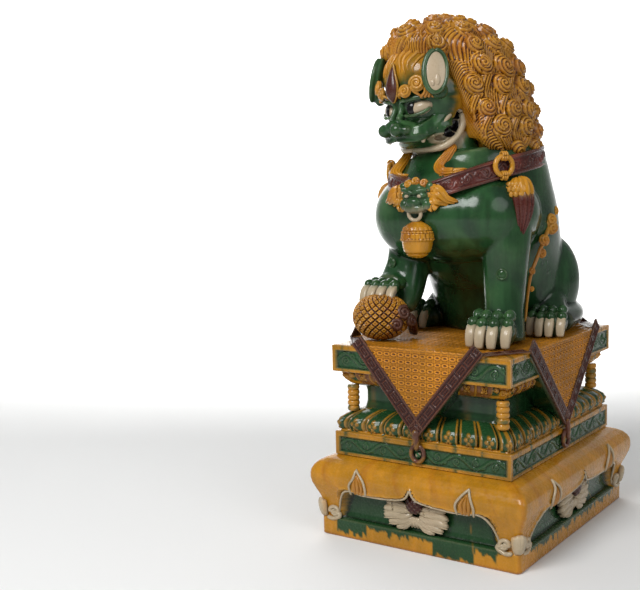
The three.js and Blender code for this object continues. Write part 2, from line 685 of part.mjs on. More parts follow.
// The curls are bosses on a honeycomb: six-sided at the foot and domed over, in staggered rows.
function mane() {
  const { rows, around, high } = CURL;
  const pitch = 1 / (rows - 0.3);
  const level = (row) => THREE.MathUtils.clamp((row + 0.35) * pitch, 0, 1);
  const shift = (row) => (row % 2 ? 0.5 : 0);
  const at = (row, column, sunk) => {
    const [height, angle] = [level(row), (column / around) * 2 * Math.PI];
    return manePoint(height, angle, -sunk - faceRoom(height, angle));
  };
  const points = [];
  const faces = [];
  const numbers = new Map();
  const corner = (row, column) => {
    const turn = ((column % around) + around) % around;
    const key = row.toFixed(2) + " " + turn.toFixed(2);
    if (!numbers.has(key)) {
      numbers.set(key, points.length);
      points.push(at(row, turn, high));
    }
    return numbers.get(key);
  };
  const third = 1 / 3;
  for (let row = 0; row < rows; row++) {
    for (let i = 0; i < around; i++) {
      const middle = i + shift(row);
      const foot = [
        [row - 2 * third, middle], [row - third, middle + 0.5], [row + third, middle + 0.5],
        [row + 2 * third, middle], [row + third, middle - 0.5], [row - third, middle - 0.5],
      ].map(([r, c]) => corner(r, c));
      const crown = points.length;
      const top = at(row, middle, 0);
      const base = at(row, middle, high);
      const covered = faceRoom(level(row), (middle / around) * 2 * Math.PI) > 60;
      if (!covered) {
        const rise = top.clone().sub(base).multiplyScalar(0.76);
        foot.forEach((n) => points.push(points[n].clone().lerp(base, 0.38).add(rise)));
      }
      points.push(covered ? base : top);
      const hub = points.length - 1;
      for (let k = 0; k < 6; k++) {
        const n = (k + 1) % 6;
        if (covered) faces.push(hub, foot[k], foot[n]);
        else {
          faces.push(foot[k], foot[n], crown + n, foot[k], crown + n, crown + k);
          faces.push(hub, crown + k, crown + n);
        }
      }
    }
  }
  const caps = [[-2 * third, -third, true], [rows - 1 + 2 * third, rows - 1 + third, false]];
  for (const [row, last, flip] of caps) {
    const hub = points.length;
    const base = flip ? MANE[0] : MANE.at(-1);
    const middle = flip
      ? manePoint(0, 0, 0).setX(base[1]).setY(base[2])
      : manePoint(1, 0, -high * 0.4).setX(base[1]);
    points.push(middle);
    const start = flip ? shift(0) : shift(rows - 1);
    for (let i = 0; i < around; i++) {
      const rim = [corner(row, i + start), corner(last, i + start + 0.5), corner(row, i + start + 1)];
      for (const [p, q] of [[rim[0], rim[1]], [rim[1], rim[2]]]) {
        faces.push(...(flip ? [hub, q, p] : [hub, p, q]));
      }
    }
  }
  const geometry = new THREE.BufferGeometry().setFromPoints(points);
  geometry.setIndex(faces);
  return solid(geometry);
}

function ear(side) {
  const stops = [
    [side * 116, 46, 48, 10, 12], [side * 132, 38, 76, 24, 28], [side * 141, 34, 108, 28, 30],
    [side * 140, 38, 144, 20, 22], [side * 134, 44, 172, 5, 6],
  ];
  return limb(stops, 7, 10);
}

function brow(side) {
  const stops = [
    [side * 10, -14, 30, 9, 7], [side * 36, -22, 42, 12, 10], [side * 62, -24, 60, 22, 16],
    [side * 80, -14, 68, 13, 10], [side * 98, -8, 84, 22, 17], [side * 112, 6, 94, 6, 5],
  ];
  return limb(stops, 10, 8);
}

function head() {
  const skull = union([
    ball([0, 112, 44], [138, 124, 132], [0, 0, 0], 18, 12),
    ball([0, 42, 98], [106, 70, 84], [0, 0, 0], 12, 8), // forehead
    ball([0, 78, -58], [124, 92, 82], [0, 0, 0], 18, 12), // cheeks
    ball([0, 8, -58], [66, 50, 32], [0, 0, 0], 14, 9), // muzzle
    ball([0, 28, -80], [98, 62, 24], [0, 0, 0], 14, 8), // upper lip
    ball([0, 84, -116], [98, 90, 34], [0, 0, 0], 16, 8), // lower jaw
    limb([[0, 118, -70, 118, 96], [10, 150, -140, 124, 110]], 1, 10), // throat
  ]);
  const mouth = [-1, 1].map((s) =>
    limb([[s * 28, -34, -105, 24, 9], [s * 92, 8, -99, 30, 12], [s * 132, 100, -20, 28, 19]], 4, 6),
  );
  const features = [-1, 1].map((s) => [
    ball([s * 52, 2, 0], [25, 20, 21], [0, 0, s * 14], 10, 7), // eye
    ball([s * 30, -34, -60], [20, 15, 17], [0, 0, 0], 8, 6), // nostril
    brow(s),
    ear(s),
    limb([
      [s * 80, 96, -122, 22, 12], [s * 90, 72, -156, 18, 14], [s * 102, 58, -184, 16, 14],
    ], 2, 6), // beard
  ]);
  const flame = limb([[0, -18, 34, 8, 12], [0, -34, 74, 24, 14], [0, -30, 134, 3, 5]], 3, 6);
  const nose = ball([0, -38, -52], [24, 15, 16], [0, 0, 0], 6, 4);
  const teeth = ball([0, 20, -99], [80, 52, 12], [0, 0, 0], 8, 3);
  return inHead(union([skull.subtract(union(mouth)), features, flame, nose, teeth]));
}

function lion() {
  const orb = ball(BALL.at, BALL.radii, [0, 0, 0], 16, 10);
  const bow = union([
    ball([BALL.at[0] + 80, BALL.at[1] + 8, 668], [26, 28, 34], [0, 0, 0], 6, 4),
    limb([
      [BALL.at[0] + 78, BALL.at[1] + 24, 650, 16, 16],
      [BALL.at[0] + 70, BALL.at[1] + 70, 618, 12, 14],
    ], 1, 6),
  ]);
  const body = union([
    trunk(), straightForeleg(), bentForeleg(), paw(LEG.x + 5, LEG.y - 68, 6), haunch(), mirrorX(haunch()),
    tail(), collar(), chestMask(), tassel(rad(64)), tassel(rad(-78)), mane(), head(), orb, bow,
    flankLocks(1), flankLocks(-1),
  ]);
  const under = box([-600, -600, 0], [600, 600, LION_BASE]);
  return body.subtract(under);
}

// ---------- assembly ----------
const glaze = (color, roughness) => new THREE.MeshStandardMaterial({ color, roughness, metalness: 0 });
const statue = new THREE.Group();
statue.add(
  toMesh("plinth", plinth(), MOST_FACES.plinth, glaze(0xc98a1e, 0.3)),
  toMesh("pedestal", pedestal(), MOST_FACES.pedestal, glaze(0x2f6b48, 0.3)),
  toMesh("lion", lion(), MOST_FACES.lion, glaze(0x1f6b43, 0.22)),
);

export default statue;
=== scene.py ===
import math

import bpy
import numpy as np
from mathutils import Matrix, Vector


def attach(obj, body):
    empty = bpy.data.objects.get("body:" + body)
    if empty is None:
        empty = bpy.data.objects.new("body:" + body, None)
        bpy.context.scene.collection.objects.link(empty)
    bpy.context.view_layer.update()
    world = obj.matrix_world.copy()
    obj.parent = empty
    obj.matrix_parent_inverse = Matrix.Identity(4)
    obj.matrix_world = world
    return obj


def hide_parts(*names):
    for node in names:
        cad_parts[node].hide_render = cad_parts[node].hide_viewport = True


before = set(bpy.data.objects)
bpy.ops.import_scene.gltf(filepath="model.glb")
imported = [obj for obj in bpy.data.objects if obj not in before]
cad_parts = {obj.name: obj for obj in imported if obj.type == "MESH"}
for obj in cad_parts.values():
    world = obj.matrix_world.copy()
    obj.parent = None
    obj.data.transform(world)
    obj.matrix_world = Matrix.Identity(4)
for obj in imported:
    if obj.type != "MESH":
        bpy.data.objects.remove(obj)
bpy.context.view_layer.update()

# ---------- sizes, in millimetres ----------
MM = 0.001
FOOT_W, FOOT_D = 660, 814
LOW_SLAB = (584, 755, 249.3, 323)  # width, depth, underside, top
TOP_SLAB = (588, 768, 509, 591)
WAIST = (424, 606)
CLOTH_TOP = 598
LION_BASE = 598.3
FRONT_FLAP, SIDE_FLAP = (216, 333), (272, 322)  # half width at the top, height of the tip
BORDER = 42
FINE = 2.9  # spacing of the points where a block of the pedestal is carved
CORNERS = [(sx, sy) for sx in (-1, 1) for sy in (-1, 1)]

AMBER = np.array((0.50, 0.215, 0.012))
ORANGE = np.array((0.34, 0.095, 0.008))
GREEN = np.array((0.018, 0.068, 0.021))
# dark green for the body's random mottles and for its painted shade low down
MOTTLE_AND_SHADE_GREEN = np.array((0.006, 0.026, 0.011))
AUBERGINE = np.array((0.070, 0.013, 0.009))
CREAM = np.array((0.41, 0.32, 0.215))
CLOTH_AMBER = AMBER * (1.3, 1.15, 0.9)
HAIR_SHADE = np.array((0.15, 0.036, 0.005))
BLACK = np.array((0.006, 0.005, 0.005))


def corner_name(sx, sy):
    """Two letters: the lion's left or right, then back or front."""
    return "lr"[sx < 0] + "bf"[sy < 0]


# ---------- clay tools ----------
def bare():
    """Nothing selected, nothing active."""
    bpy.ops.object.select_all(action="DESELECT")


def take(*pieces):
    """Selects the pieces; the first is the active one."""
    bare()
    for piece in pieces:
        piece.select_set(True)
    bpy.context.view_layer.objects.active = pieces[0]


def points(piece):
    co = np.empty(len(piece.data.vertices) * 3)
    piece.data.vertices.foreach_get("co", co)
    return co.reshape(-1, 3) / MM


def normals(piece):
    n = np.empty(len(piece.data.vertices) * 3)
    piece.data.vertices.foreach_get("normal", n)
    return n.reshape(-1, 3)


def move(piece, co):
    piece.data.vertices.foreach_set("co", (np.asarray(co, float) * MM).ravel())
    piece.data.update()


def outward(piece):
    """Turns the faces of a closed piece outwards."""
    mesh = piece.data
    mesh.calc_loop_triangles()
    corners = np.empty(len(mesh.loop_triangles) * 3, np.int32)
    mesh.loop_triangles.foreach_get("vertices", corners)
    a, b, c = points(piece)[corners.reshape(-1, 3)].transpose(1, 0, 2)
    if np.einsum("ij,ij->i", a, np.cross(b, c)).sum() < 0:
        mesh.flip_normals()


def settle(piece, angle=55):
    """Writes the piece's place into its mesh, faces outwards and smooth."""
    take(piece)
    bpy.ops.object.transform_apply(location=True, rotation=True, scale=True)
    outward(piece)
    bpy.ops.object.shade_smooth_by_angle(angle=math.radians(angle))
    return piece


def smoothstep(x, low, high):
    t = np.clip((x - low) / (high - low), 0, 1)
    return t * t * (3 - 2 * t)


def mix(a, b, share):
    return a + (b - a) * np.asarray(share)[..., None]


def wander(x, seed, longest=60.0, octaves=4):
    """A smooth uneven line, about -1 to 1, along x."""
    random = np.random.default_rng(seed)
    total = np.zeros_like(np.asarray(x, float))
    for octave in range(octaves):
        wave = longest / 2.1**octave
        phase = random.uniform(0, 2 * np.pi, 2)
        total += (
            np.sin(x / wave * 2 * np.pi + phase[0]) + np.sin(x / wave * 3.7 + phase[1])
        ) * 0.5 / 1.6**octave
    return total / 1.6


def cloudy(co, seed, size):
    """A smooth uneven field through space, about -1 to 1."""
    random = np.random.default_rng(seed)
    total = np.zeros(len(co))
    for _ in range(7):
        direction = random.normal(size=3)
        direction /= np.linalg.norm(direction)
        wave = size * random.uniform(0.6, 1.6)
        total += np.sin(co @ direction / wave * 2 * np.pi + random.uniform(0, 6.3))
    return total / 3.5


def through(stops, count):
    """`count` points on a smooth line through the stops."""
    stops = np.asarray(stops, float)
    spans = len(stops) - 1
    slope = np.gradient(stops, axis=0)
    t = np.linspace(0, spans, count)
    i = np.minimum(t.astype(int), spans - 1)
    f = (t - i)[:, None]
    return (
        stops[i] * (2 * f**3 - 3 * f**2 + 1) + slope[i] * (f**3 - 2 * f**2 + f)
        + stops[i + 1] * (3 * f**2 - 2 * f**3) + slope[i + 1] * (f**3 - f**2)
    )


def wrap(name, around, along, place, angle=55):
    """A closed skin, a rolled-up sheet of around x along faces.

    Each point is set to place(turn, down), whole numbers."""
    bare()
    bpy.ops.mesh.primitive_grid_add(x_subdivisions=around, y_subdivisions=along, size=2)
    piece = bpy.context.object
    piece.name = name
    flat = (points(piece) * MM + 1) / 2
    turn = np.round(flat[:, 0] * around).astype(np.int32) % around
    down = np.round(flat[:, 1] * along).astype(np.int32)
    move(piece, place(turn, down))
    for key, value in (("turn", turn), ("down", down)):
        piece.data.attributes.new(key, "INT", "POINT").data.foreach_set("value", value)
    bpy.ops.object.mode_set(mode="EDIT")
    bpy.ops.mesh.select_all(action="SELECT")
    bpy.ops.mesh.remove_doubles(threshold=0.00001)
    bpy.ops.object.mode_set(mode="OBJECT")
    return settle(piece, angle)


def count_back(piece, key):
    """The turn or down number that wrap() gave each point."""
    value = np.empty(len(piece.data.vertices), np.int32)
    piece.data.attributes[key].data.foreach_get("value", value)
    return value


def ball(at, radii, turn=0.0, around=32, rings=18):
    """An egg of clay. turn is about the upright axis, in degrees."""
    bare()
    bpy.ops.mesh.primitive_uv_sphere_add(segments=around, ring_count=rings, radius=1)
    piece = bpy.context.object
    piece.scale = [r * MM for r in radii]
    piece.rotation_euler = (0, 0, math.radians(turn))
    piece.location = [v * MM for v in at]
    return settle(piece)


def round_ends(rings, cap):
    """Share of the full thickness at every ring; a share `cap` of the length rounds off at both ends."""
    t = np.linspace(0, 1, rings + 1)
    return np.sqrt(np.clip(1 - (1 - np.minimum(np.minimum(t, 1 - t) / max(cap, 1e-6), 1)) ** 2, 0, 1))


def strand(stops, sides=20, rings=24, cap=0.1, section=1.0):
    """A limb, lock or rib of clay on a smooth line.

    Each stop is (x, y, z, side, depth); section under 1 squares it."""
    line = through(stops, rings + 1)
    path, size = line[:, :3], line[:, 3:]
    along = np.gradient(path, axis=0)
    along /= np.linalg.norm(along, axis=1)[:, None]
    depth = np.cross([1.0, 0, 0], along)
    flat = np.linalg.norm(depth, axis=1) < 0.15
    depth[flat] = np.cross([0, 0, 1.0], along[flat])
    depth /= np.linalg.norm(depth, axis=1)[:, None]
    side = np.cross(along, depth)
    swell = round_ends(rings, cap)

    def place(turn, down):
        a = turn / sides * 2 * np.pi
        c, s = np.cos(a), np.sin(a)
        c, s = np.sign(c) * np.abs(c) ** section, np.sign(s) * np.abs(s) ** section
        grow = size[down] * swell[down][:, None]
        return path[down] + side[down] * (c * grow[:, 0])[:, None] + depth[down] * (s * grow[:, 1])[
            :, None
        ]

    return wrap("strand", sides, rings, place)


def cord(line, thick, sides=10, cap=0.04):
    """A round roll of clay laid along a drawn line of points; thick is one size or one for each point."""
    line = np.asarray(line, float)
    size = np.broadcast_to(np.asarray(thick, float), (len(line),))
    stops = np.column_stack([line, size, size])
    return tube(stops, sides, cap)


def tube(stops, sides=10, cap=0.04):
    """Like strand, but the rings follow the given points and turn with the line, so it may curl any way."""
    stops = np.asarray(stops, float)
    rings = len(stops) - 1
    path, size = stops[:, :3], stops[:, 3:]
    along = np.gradient(path, axis=0)
    along /= np.linalg.norm(along, axis=1)[:, None] + 1e-9
    depth = np.empty_like(along)
    d = np.cross(along[0], [0.3, 0.2, 1.0])
    for i, tangent in enumerate(along):
        d = d - tangent * (d @ tangent)
        d /= np.linalg.norm(d) + 1e-9
        depth[i] = d
    side = np.cross(along, depth)
    swell = round_ends(rings, cap)

    def place(turn, down):
        a = turn / sides * 2 * np.pi
        grow = size[down] * swell[down][:, None]
        return (
            path[down] + side[down] * (np.cos(a) * grow[:, 0])[:, None]
            + depth[down] * (np.sin(a) * grow[:, 1])[:, None]
        )

    return wrap("roll", sides, rings, place)


def ring(at, radius, thick, normal=(0, 1, 0), around=40, sides=12):
    bare()
    bpy.ops.mesh.primitive_torus_add(
        major_radius=radius * MM, minor_radius=thick * MM, major_segments=around, minor_segments=sides
    )
    piece = bpy.context.object
    piece.rotation_euler = Vector((0, 0, 1)).rotation_difference(Vector(normal)).to_euler()
    piece.location = [v * MM for v in at]
    return settle(piece)


def join(name, pieces):
    """Makes one piece of several, under a name."""
    take(*pieces)
    if len(pieces) > 1:
        bpy.ops.object.join()
    pieces[0].name = name
    pieces[0].data.name = name
    return pieces[0]


def apply(piece, kind, **settings):
    """Applies one modifier to the piece."""
    take(piece)
    modifier = piece.modifiers.new(kind.title(), kind)
    for key, value in settings.items():
        setattr(modifier, key, value)
    bpy.ops.object.modifier_apply(modifier=modifier.name)


def fuse(name, pieces, voxel, rounds=4, carve=()):
    """Works lumps of clay into one skin of even faces and smooths the joins; carve is cut out first."""
    piece = join(name, pieces)
    if carve:
        apply(piece, "REMESH", mode="VOXEL", voxel_size=voxel * MM)
        knife = join("knife", list(carve))
        apply(knife, "REMESH", mode="VOXEL", voxel_size=voxel * MM)
        apply(piece, "BOOLEAN", operation="DIFFERENCE", object=knife, solver="EXACT")
        bpy.data.objects.remove(knife)
    apply(piece, "REMESH", mode="VOXEL", voxel_size=voxel * MM)
    if rounds:
        apply(piece, "SMOOTH", factor=0.5, iterations=rounds)
    return settle(piece)


def flipped(piece):
    """Turns a piece made for the lion's left side to its right side."""
    move(piece, points(piece) * (-1, 1, 1))
    outward(piece)
    return piece


def mirrored(piece, name):
    """A second piece like the first, for the other side."""
    twin = piece.copy()
    twin.data = piece.data.copy()
    twin.name = name
    bpy.context.collection.objects.link(twin)
    return flipped(twin)


def quarter(piece, face, name=None):
    """Turns a piece made for the front to another face: 1 the lion's left, 2 the back, 3 its right."""
    co = points(piece)
    c, s = [(1, 0), (0, 1), (-1, 0), (0, -1)][face]
    move(piece, np.column_stack([co[:, 0] * c - co[:, 1] * s, co[:, 0] * s + co[:, 1] * c, co[:, 2]]))
    if name:
        piece.name = name
    return piece


def neighbours(piece):
    e = np.empty(len(piece.data.edges) * 2, np.int32)
    piece.data.edges.foreach_get("vertices", e)
    return e.reshape(-1, 2)


def spread(values, edges, rounds):
    """Averages a value over the skin, a step from each point to its neighbours every round."""
    count = np.bincount(edges.ravel(), minlength=len(values))[:, None] + 1e-9
    values = values.reshape(len(values), -1)
    for _ in range(rounds):
        total = np.empty_like(values)
        for k in range(values.shape[1]):
            total[:, k] = np.bincount(edges[:, 0], values[edges[:, 1], k], len(values))
            total[:, k] += np.bincount(edges[:, 1], values[edges[:, 0], k], len(values))
        values = 0.5 * values + 0.5 * total / count
    return values


def paint(piece, colour, reach=5, full=1.2):
    """Lays the given colour on every point, the glaze's own colour with any painted shade that the caller
    puts in, and notes where it lies deep: 0 on edges, 1 in hollows.
    """
    co, n, edges = points(piece), normals(piece), neighbours(piece)
    rgba = np.ones((len(co), 4))
    rgba[:, :3] = colour
    layer = piece.data.color_attributes.new("glaze", "FLOAT_COLOR", "POINT")
    layer.data.foreach_set("color", rgba.ravel())
    below = np.einsum("ij,ij->i", spread(co, edges, reach) - co, n)
    pool = np.clip(0.5 + 0.5 * below / full, 0, 1)
    layer = piece.data.attributes.new("pool", "FLOAT", "POINT")
    layer.data.foreach_set("value", pool.astype(np.float32))
    return piece


# ---------- glazes ----------
class Wire:
    """One socket of a shader, so that shader sums read as sums."""

    def __init__(self, glaze, socket):
        self.glaze, self.socket = glaze, socket

    def sum(self, operation, *values):
        return self.glaze.node("ShaderNodeMath", {"operation": operation}, *values)

    def __add__(self, other):
        return self.sum("ADD", self, other)

    def __sub__(self, other):
        return self.sum("SUBTRACT", self, other)

    def __rsub__(self, other):
        return self.sum("SUBTRACT", other, self)

    def __mul__(self, other):
        return self.sum("MULTIPLY", self, other)

    __radd__ = __add__
    __rmul__ = __mul__


class Glaze:
    """A material and its nodes."""

    def __init__(self, name):
        self.material = bpy.data.materials.new(name)
        self.material.use_nodes = True
        self.tree = self.material.node_tree
        self.shader = self.tree.nodes["Principled BSDF"]

    def node(self, kind, settings=None, *values, out=0, **named):
        made = self.tree.nodes.new(kind)
        for key, value in (settings or {}).items():
            setattr(made, key, value)
        for key, value in [*enumerate(values), *named.items()]:
            self.plug(made.inputs[key], value)
        return Wire(self, made.outputs[out])

    def plug(self, socket, value):
        if isinstance(value, Wire):
            self.tree.links.new(value.socket, socket)
        else:
            socket.default_value = value

    def blend(self, kind, share, a, b):
        """A Mix of two colours; kind is MIX, MULTIPLY, SCREEN and so on."""
        made = self.tree.nodes.new("ShaderNodeMix")
        made.data_type, made.blend_type = "RGBA", kind
        for socket, value in zip([made.inputs[0], made.inputs[6], made.inputs[7]], [share, a, b]):
            self.plug(socket, value)
        return Wire(self, made.outputs[2])

    def span(self, value, low, high, to_low=0.0, to_high=1.0):
        return self.node(
            "ShaderNodeMapRange", {"interpolation_type": "SMOOTHSTEP"}, value, low, high, to_low, to_high
        )

    def noise(self, where, scale, detail=3.0, rough=0.5):
        return self.node(
            "ShaderNodeTexNoise", None, Vector=where, Scale=scale, Detail=detail, Roughness=rough
        )

    def set(self, **named):
        for key, value in named.items():
            self.plug(self.shader.inputs[key.replace("_", " ")], value)
        return self.material


def fired(name, pale=0.25, dark=0.75, mottle=0.5, rough=0.13, brown=0.0, coat=0.6):
    """Lead glaze over clay: it thins to a paler colour on edges and deepens where it pools."""
    g = Glaze(name)
    colour = g.node("ShaderNodeAttribute", {"attribute_name": "glaze"}, out=0)
    pool = g.node("ShaderNodeAttribute", {"attribute_name": "pool"}, out=2)
    where = g.node("ShaderNodeTexCoord", out=3)
    cloud = g.noise(where, 7.0, 4.0, 0.6)
    grain = g.noise(where, 120.0, 2.0)
    streak = g.node("ShaderNodeMapping", None, Vector=where, Scale=(38.0, 38.0, 3.2))
    run = g.noise(streak, 1.0, 3.0)
    deep = g.blend("MULTIPLY", 1.0, colour, colour)
    deep = g.blend("MIX", brown, deep, (0.045, 0.012, 0.006, 1))
    thick = g.span(pool + (cloud - 0.5) * 0.3 + (run - 0.5) * 0.2, 0.5, 0.95)
    body = g.blend("MIX", thick * dark, colour, deep)
    unevenness = g.span(cloud * 0.6 + run * 0.4, 0.38, 0.64)
    body = g.blend("MULTIPLY", (1 - unevenness) * mottle, body, (0.36, 0.44, 0.38, 1))
    thin = g.span(pool + (grain - 0.5) * 0.2, 0.42, 0.05)
    body = g.blend("MIX", thin * pale, body, (0.72, 0.62, 0.38, 1))
    speck = g.span(g.noise(where, 260.0, 1.0), 0.76, 0.8)
    body = g.blend("MULTIPLY", speck * 0.6, body, (0.25, 0.16, 0.1, 1))
    bump = g.node(
        "ShaderNodeBump", None, Height=cloud * 0.5 + grain * 0.06 + run * 0.1, Strength=0.12,
        Distance=0.02,
    )
    return g.set(
        Base_Color=body, Roughness=g.span(grain, 0.3, 0.75, rough * 0.7, rough * 1.6), Normal=bump,
        Coat_Weight=coat, Coat_Roughness=0.08, IOR=1.5, Specular_IOR_Level=0.26,
    )


BODY_GLAZE = fired("emerald_glaze", pale=0.06, dark=0.75, mottle=0.85, rough=0.17, coat=0.2)
AMBER_GLAZE = fired("amber_glaze", pale=0.05, dark=0.95, mottle=0.4, rough=0.2, brown=0.75, coat=0.15)
DARK_GLAZE = fired("aubergine_glaze", pale=0.04, dark=0.8, mottle=0.5, rough=0.26, coat=0.12)
CREAM_GLAZE = fired("cream_glaze", pale=0.1, dark=0.45, mottle=0.25, rough=0.3, brown=0.3, coat=0.25)
CLOTH_GLAZE = fired("cloth_glaze", pale=0.03, dark=0.95, mottle=0.35, rough=0.42, brown=0.75, coat=0.0)
STAND_GLAZE = fired("pedestal_glaze", pale=0.06, dark=0.9, mottle=0.55, rough=0.22, coat=0.2)
PLINTH_GLAZE = fired("plinth_glaze", pale=0.05, dark=0.7, mottle=0.45, rough=0.24, coat=0.2)


KEPT_SHARE = {  # of a piece's faces, where its detail is fine all over; the others keep OTHER_SHARE
    "mane": 0.68, "cloth_fall": 0.58, "head": 0.5, "brocade_ball": 0.5, "collar": 0.6,
    "cloth_border": 0.5,
    "top_slab": 0.3, "lower_slab": 0.3, "capital": 0.32, "lion_body": 0.3, "cloth_top": 0.34,
    "waist": 0.2,
}
OTHER_SHARE, FEW_FACES = 0.42, 3000


def lighten(piece):
    """Joins faces where the form is calm, so that the statue stays light enough to use."""
    piece.data.calc_loop_triangles()
    if len(piece.data.loop_triangles) < FEW_FACES or piece.name.startswith("plinth_body"):
        return
    share = next((v for k, v in KEPT_SHARE.items() if piece.name.startswith(k)), OTHER_SHARE)
    apply(piece, "DECIMATE", ratio=share)


def finish(piece, node, material):
    """Hands a piece to the statue: its glaze, its body and the solid that it stands for."""
    lighten(piece)
    piece.data.materials.clear()
    piece.data.materials.append(material)
    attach(piece, "root")
    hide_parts(node)
    return piece


def in_plinth(piece, material=PLINTH_GLAZE):
    return finish(piece, "plinth", material)


def in_pedestal(piece, material=STAND_GLAZE):
    return finish(piece, "pedestal", material)


def in_lion(piece, material=BODY_GLAZE):
    return finish(piece, "lion", material)


# ---------- four-sided blocks with relief on every face ----------
def rows(profile, step):
    """Fills a drawn profile of (z, out) with even rows, no further apart than `step`."""
    filled = [profile[0]]
    for (z0, o0), (z1, o1) in zip(profile, profile[1:]):
        count = max(1, math.ceil(math.hypot(z1 - z0, o1 - o0) / step))
        filled += [(z0 + (z1 - z0) * k / count, o0 + (o1 - o0) * k / count) for k in range(1, count + 1)]
    return np.array(filled)


def block(name, w, d, profile, step, relief=None, colour=None, corner=0.0, angle=55, **painting):
    """A four-sided block of clay.

    The profile runs from the top down as (z, out). relief(face, u, z, half) adds to out, where u runs
    along the face from its middle. corner rounds the four upright edges."""
    across = [max(2, round(side / step)) for side in (w, d)] * 2
    ends = np.cumsum([0, *across])
    around, level = ends[-1], rows(profile, step)

    def where(turn, down):
        face = np.searchsorted(ends, turn, side="right") - 1
        f = (turn - ends[face]) / np.array(across)[face] * 2 - 1
        z, out = level[np.clip(down - 1, 0, len(level) - 1)].T
        half = np.where(face % 2, d / 2, w / 2)
        return face, f, z, out, half

    def place(turn, down):
        face, f, z, out, half = where(turn, down)
        u = f * half
        edge = np.abs(f) > 0.9999
        if relief:
            grown = relief(face, u, z, half)
            out = out + np.where(edge, relief(face, np.sign(f) * half, z, half), grown)
        along = f * (half + out)
        away = np.where(face % 2, w / 2, d / 2) + out
        if corner:
            r = corner
            a, b = np.abs(along) - (half + out - r), np.full_like(along, r)
            inside = a > 0
            length = np.hypot(a, b)
            along = np.where(inside, np.sign(along) * (half + out - r + a * r / length), along)
            away = np.where(inside, away - r + b * r / length, away)
        pole = (down == 0) | (down == len(level) + 1)
        along, away = np.where(pole, 0, along), np.where(pole, 0, away)
        c = np.array([0, 1, 0, -1])[face]
        s = np.array([-1, 0, 1, 0])[face]
        return np.column_stack([along * -s + away * c, along * c + away * s, z])

    piece = wrap(name, int(around), len(level) + 1, place, angle)
    face, f, z, _, half = where(count_back(piece, "turn"), count_back(piece, "down"))
    tint = colour(face, f * half, z, half) if callable(colour) else colour
    return paint(piece, tint, **painting)


def nearness(u, z, line):
    """Distance from each (u, z) to a drawn line of points."""
    line = np.asarray(line, float)
    best = np.full(len(u), 1e9)
    for start in range(0, len(line), 64):
        part = line[start:start + 64]
        best = np.minimum(best, np.hypot(u[:, None] - part[:, 0], z[:, None] - part[:, 1]).min(1))
    return best


def drawn(corners, step=1.5):
    """Even points along straight runs between corners."""
    corners = np.asarray(corners, float)
    parts = [
        np.linspace(a, b, max(2, int(np.linalg.norm(b - a) / step)), endpoint=False)
        for a, b in zip(corners, corners[1:])
    ]
    return np.vstack([*parts, corners[-1:]])


def coil(centre, radius, turns, start, hand=1, tight=0.15, steps=60):
    """A spiral of points, from its outer end in."""
    t = np.linspace(0, 1, steps)
    r = radius * (1 - t * (1 - tight))
    a = np.radians(start) + hand * t * turns * 2 * np.pi
    return np.column_stack([centre[0] + r * np.cos(a), centre[1] + r * np.sin(a)])


def ridge(distance, width, tall):
    return tall * np.exp(-((distance / width) ** 2))


# ---------- plinth ----------
CUSHION = [
    (249, -120), (249, -36), (240, -10), (230, 8), (218, 19), (206, 25), (194, 27), (180, 27), (165, 24),
    (145, 16),
    (125, 7), (105, 0), (85, -6), (62, -8),
]
FOOT_BAND = [(62, -8), (56, -2), (54, 0), (3, 0), (0, -3), (0, -120)]
# the skirt's scalloped hem, from the middle out, for a face 660 wide: (u, z)
APRON_HALF = np.array([
    (0, 196), (5, 182), (16, 167), (34, 159), (70, 153), (112, 150), (150, 149), (178, 150), (206, 157),
    (232, 150),
    (250, 128), (262, 98), (268, 74), (274, 60),
])
PANEL_DEPTH = 24
LEAF_AT, LEAF_FOOT, LEAF_TIP, LEAF_HALF = 178, 150, 224, 27


def hem(u, half):
    """Height of the skirt's hem at u: below it the panel lies open."""
    reach = np.abs(u) * 330 / half
    return np.interp(reach, APRON_HALF[:, 0], APRON_HALF[:, 1], right=0)


def leaf_edge(side, stretch):
    """The pointed leaf's outline, foot to tip to foot."""
    left = [(-LEAF_HALF, LEAF_FOOT - 6), (-LEAF_HALF - 2, 176), (-14, 200), (side * 9, LEAF_TIP)]
    right = [(side * 9, LEAF_TIP), (19, 198), (LEAF_HALF, 172), (LEAF_HALF - 3, LEAF_FOOT - 4)]
    both = np.vstack([through(left, 24), through(right, 24)[1:]])
    return both + (side * LEAF_AT * stretch, 0)


def plinth_relief(face, u, z, half):
    out = np.interp(z, [c[0] for c in CUSHION[::-1]], [c[1] for c in CUSHION[::-1]])
    top = hem(u, half)
    inside = smoothstep(top - z, -3, 3) * (z > 57)
    sunk = -PANEL_DEPTH + 6 * smoothstep(z, 80, 56) - out
    lip = 5 * np.exp(-(((top - z + 5) / 5) ** 2)) * (z > 57) * (np.abs(u) < 0.86 * half)
    return np.where(z > 57, inside * sunk + (1 - inside) * lip, 0)


def green_run(face, u, z, half):
    """Where green has run from the panel down over the foot band."""
    low = 44 + 10 * wander(u + 300 * face, 3, 90) - 16 * smoothstep(
        wander(u + 90 * face, 5, 34), 0.05, 0.75
    )
    front = face == 0
    low = np.where(front & (u > 58) & (u < 190), 6 + 9 * wander(u, 8, 40), low)
    low = np.where(front & (u > -285) & (u < -165), 16 + 14 * wander(u, 9, 26), low)
    low = np.where(np.abs(u) > 0.84 * half, 60, low)
    return smoothstep(z, low - 2.5, low + 2.5)


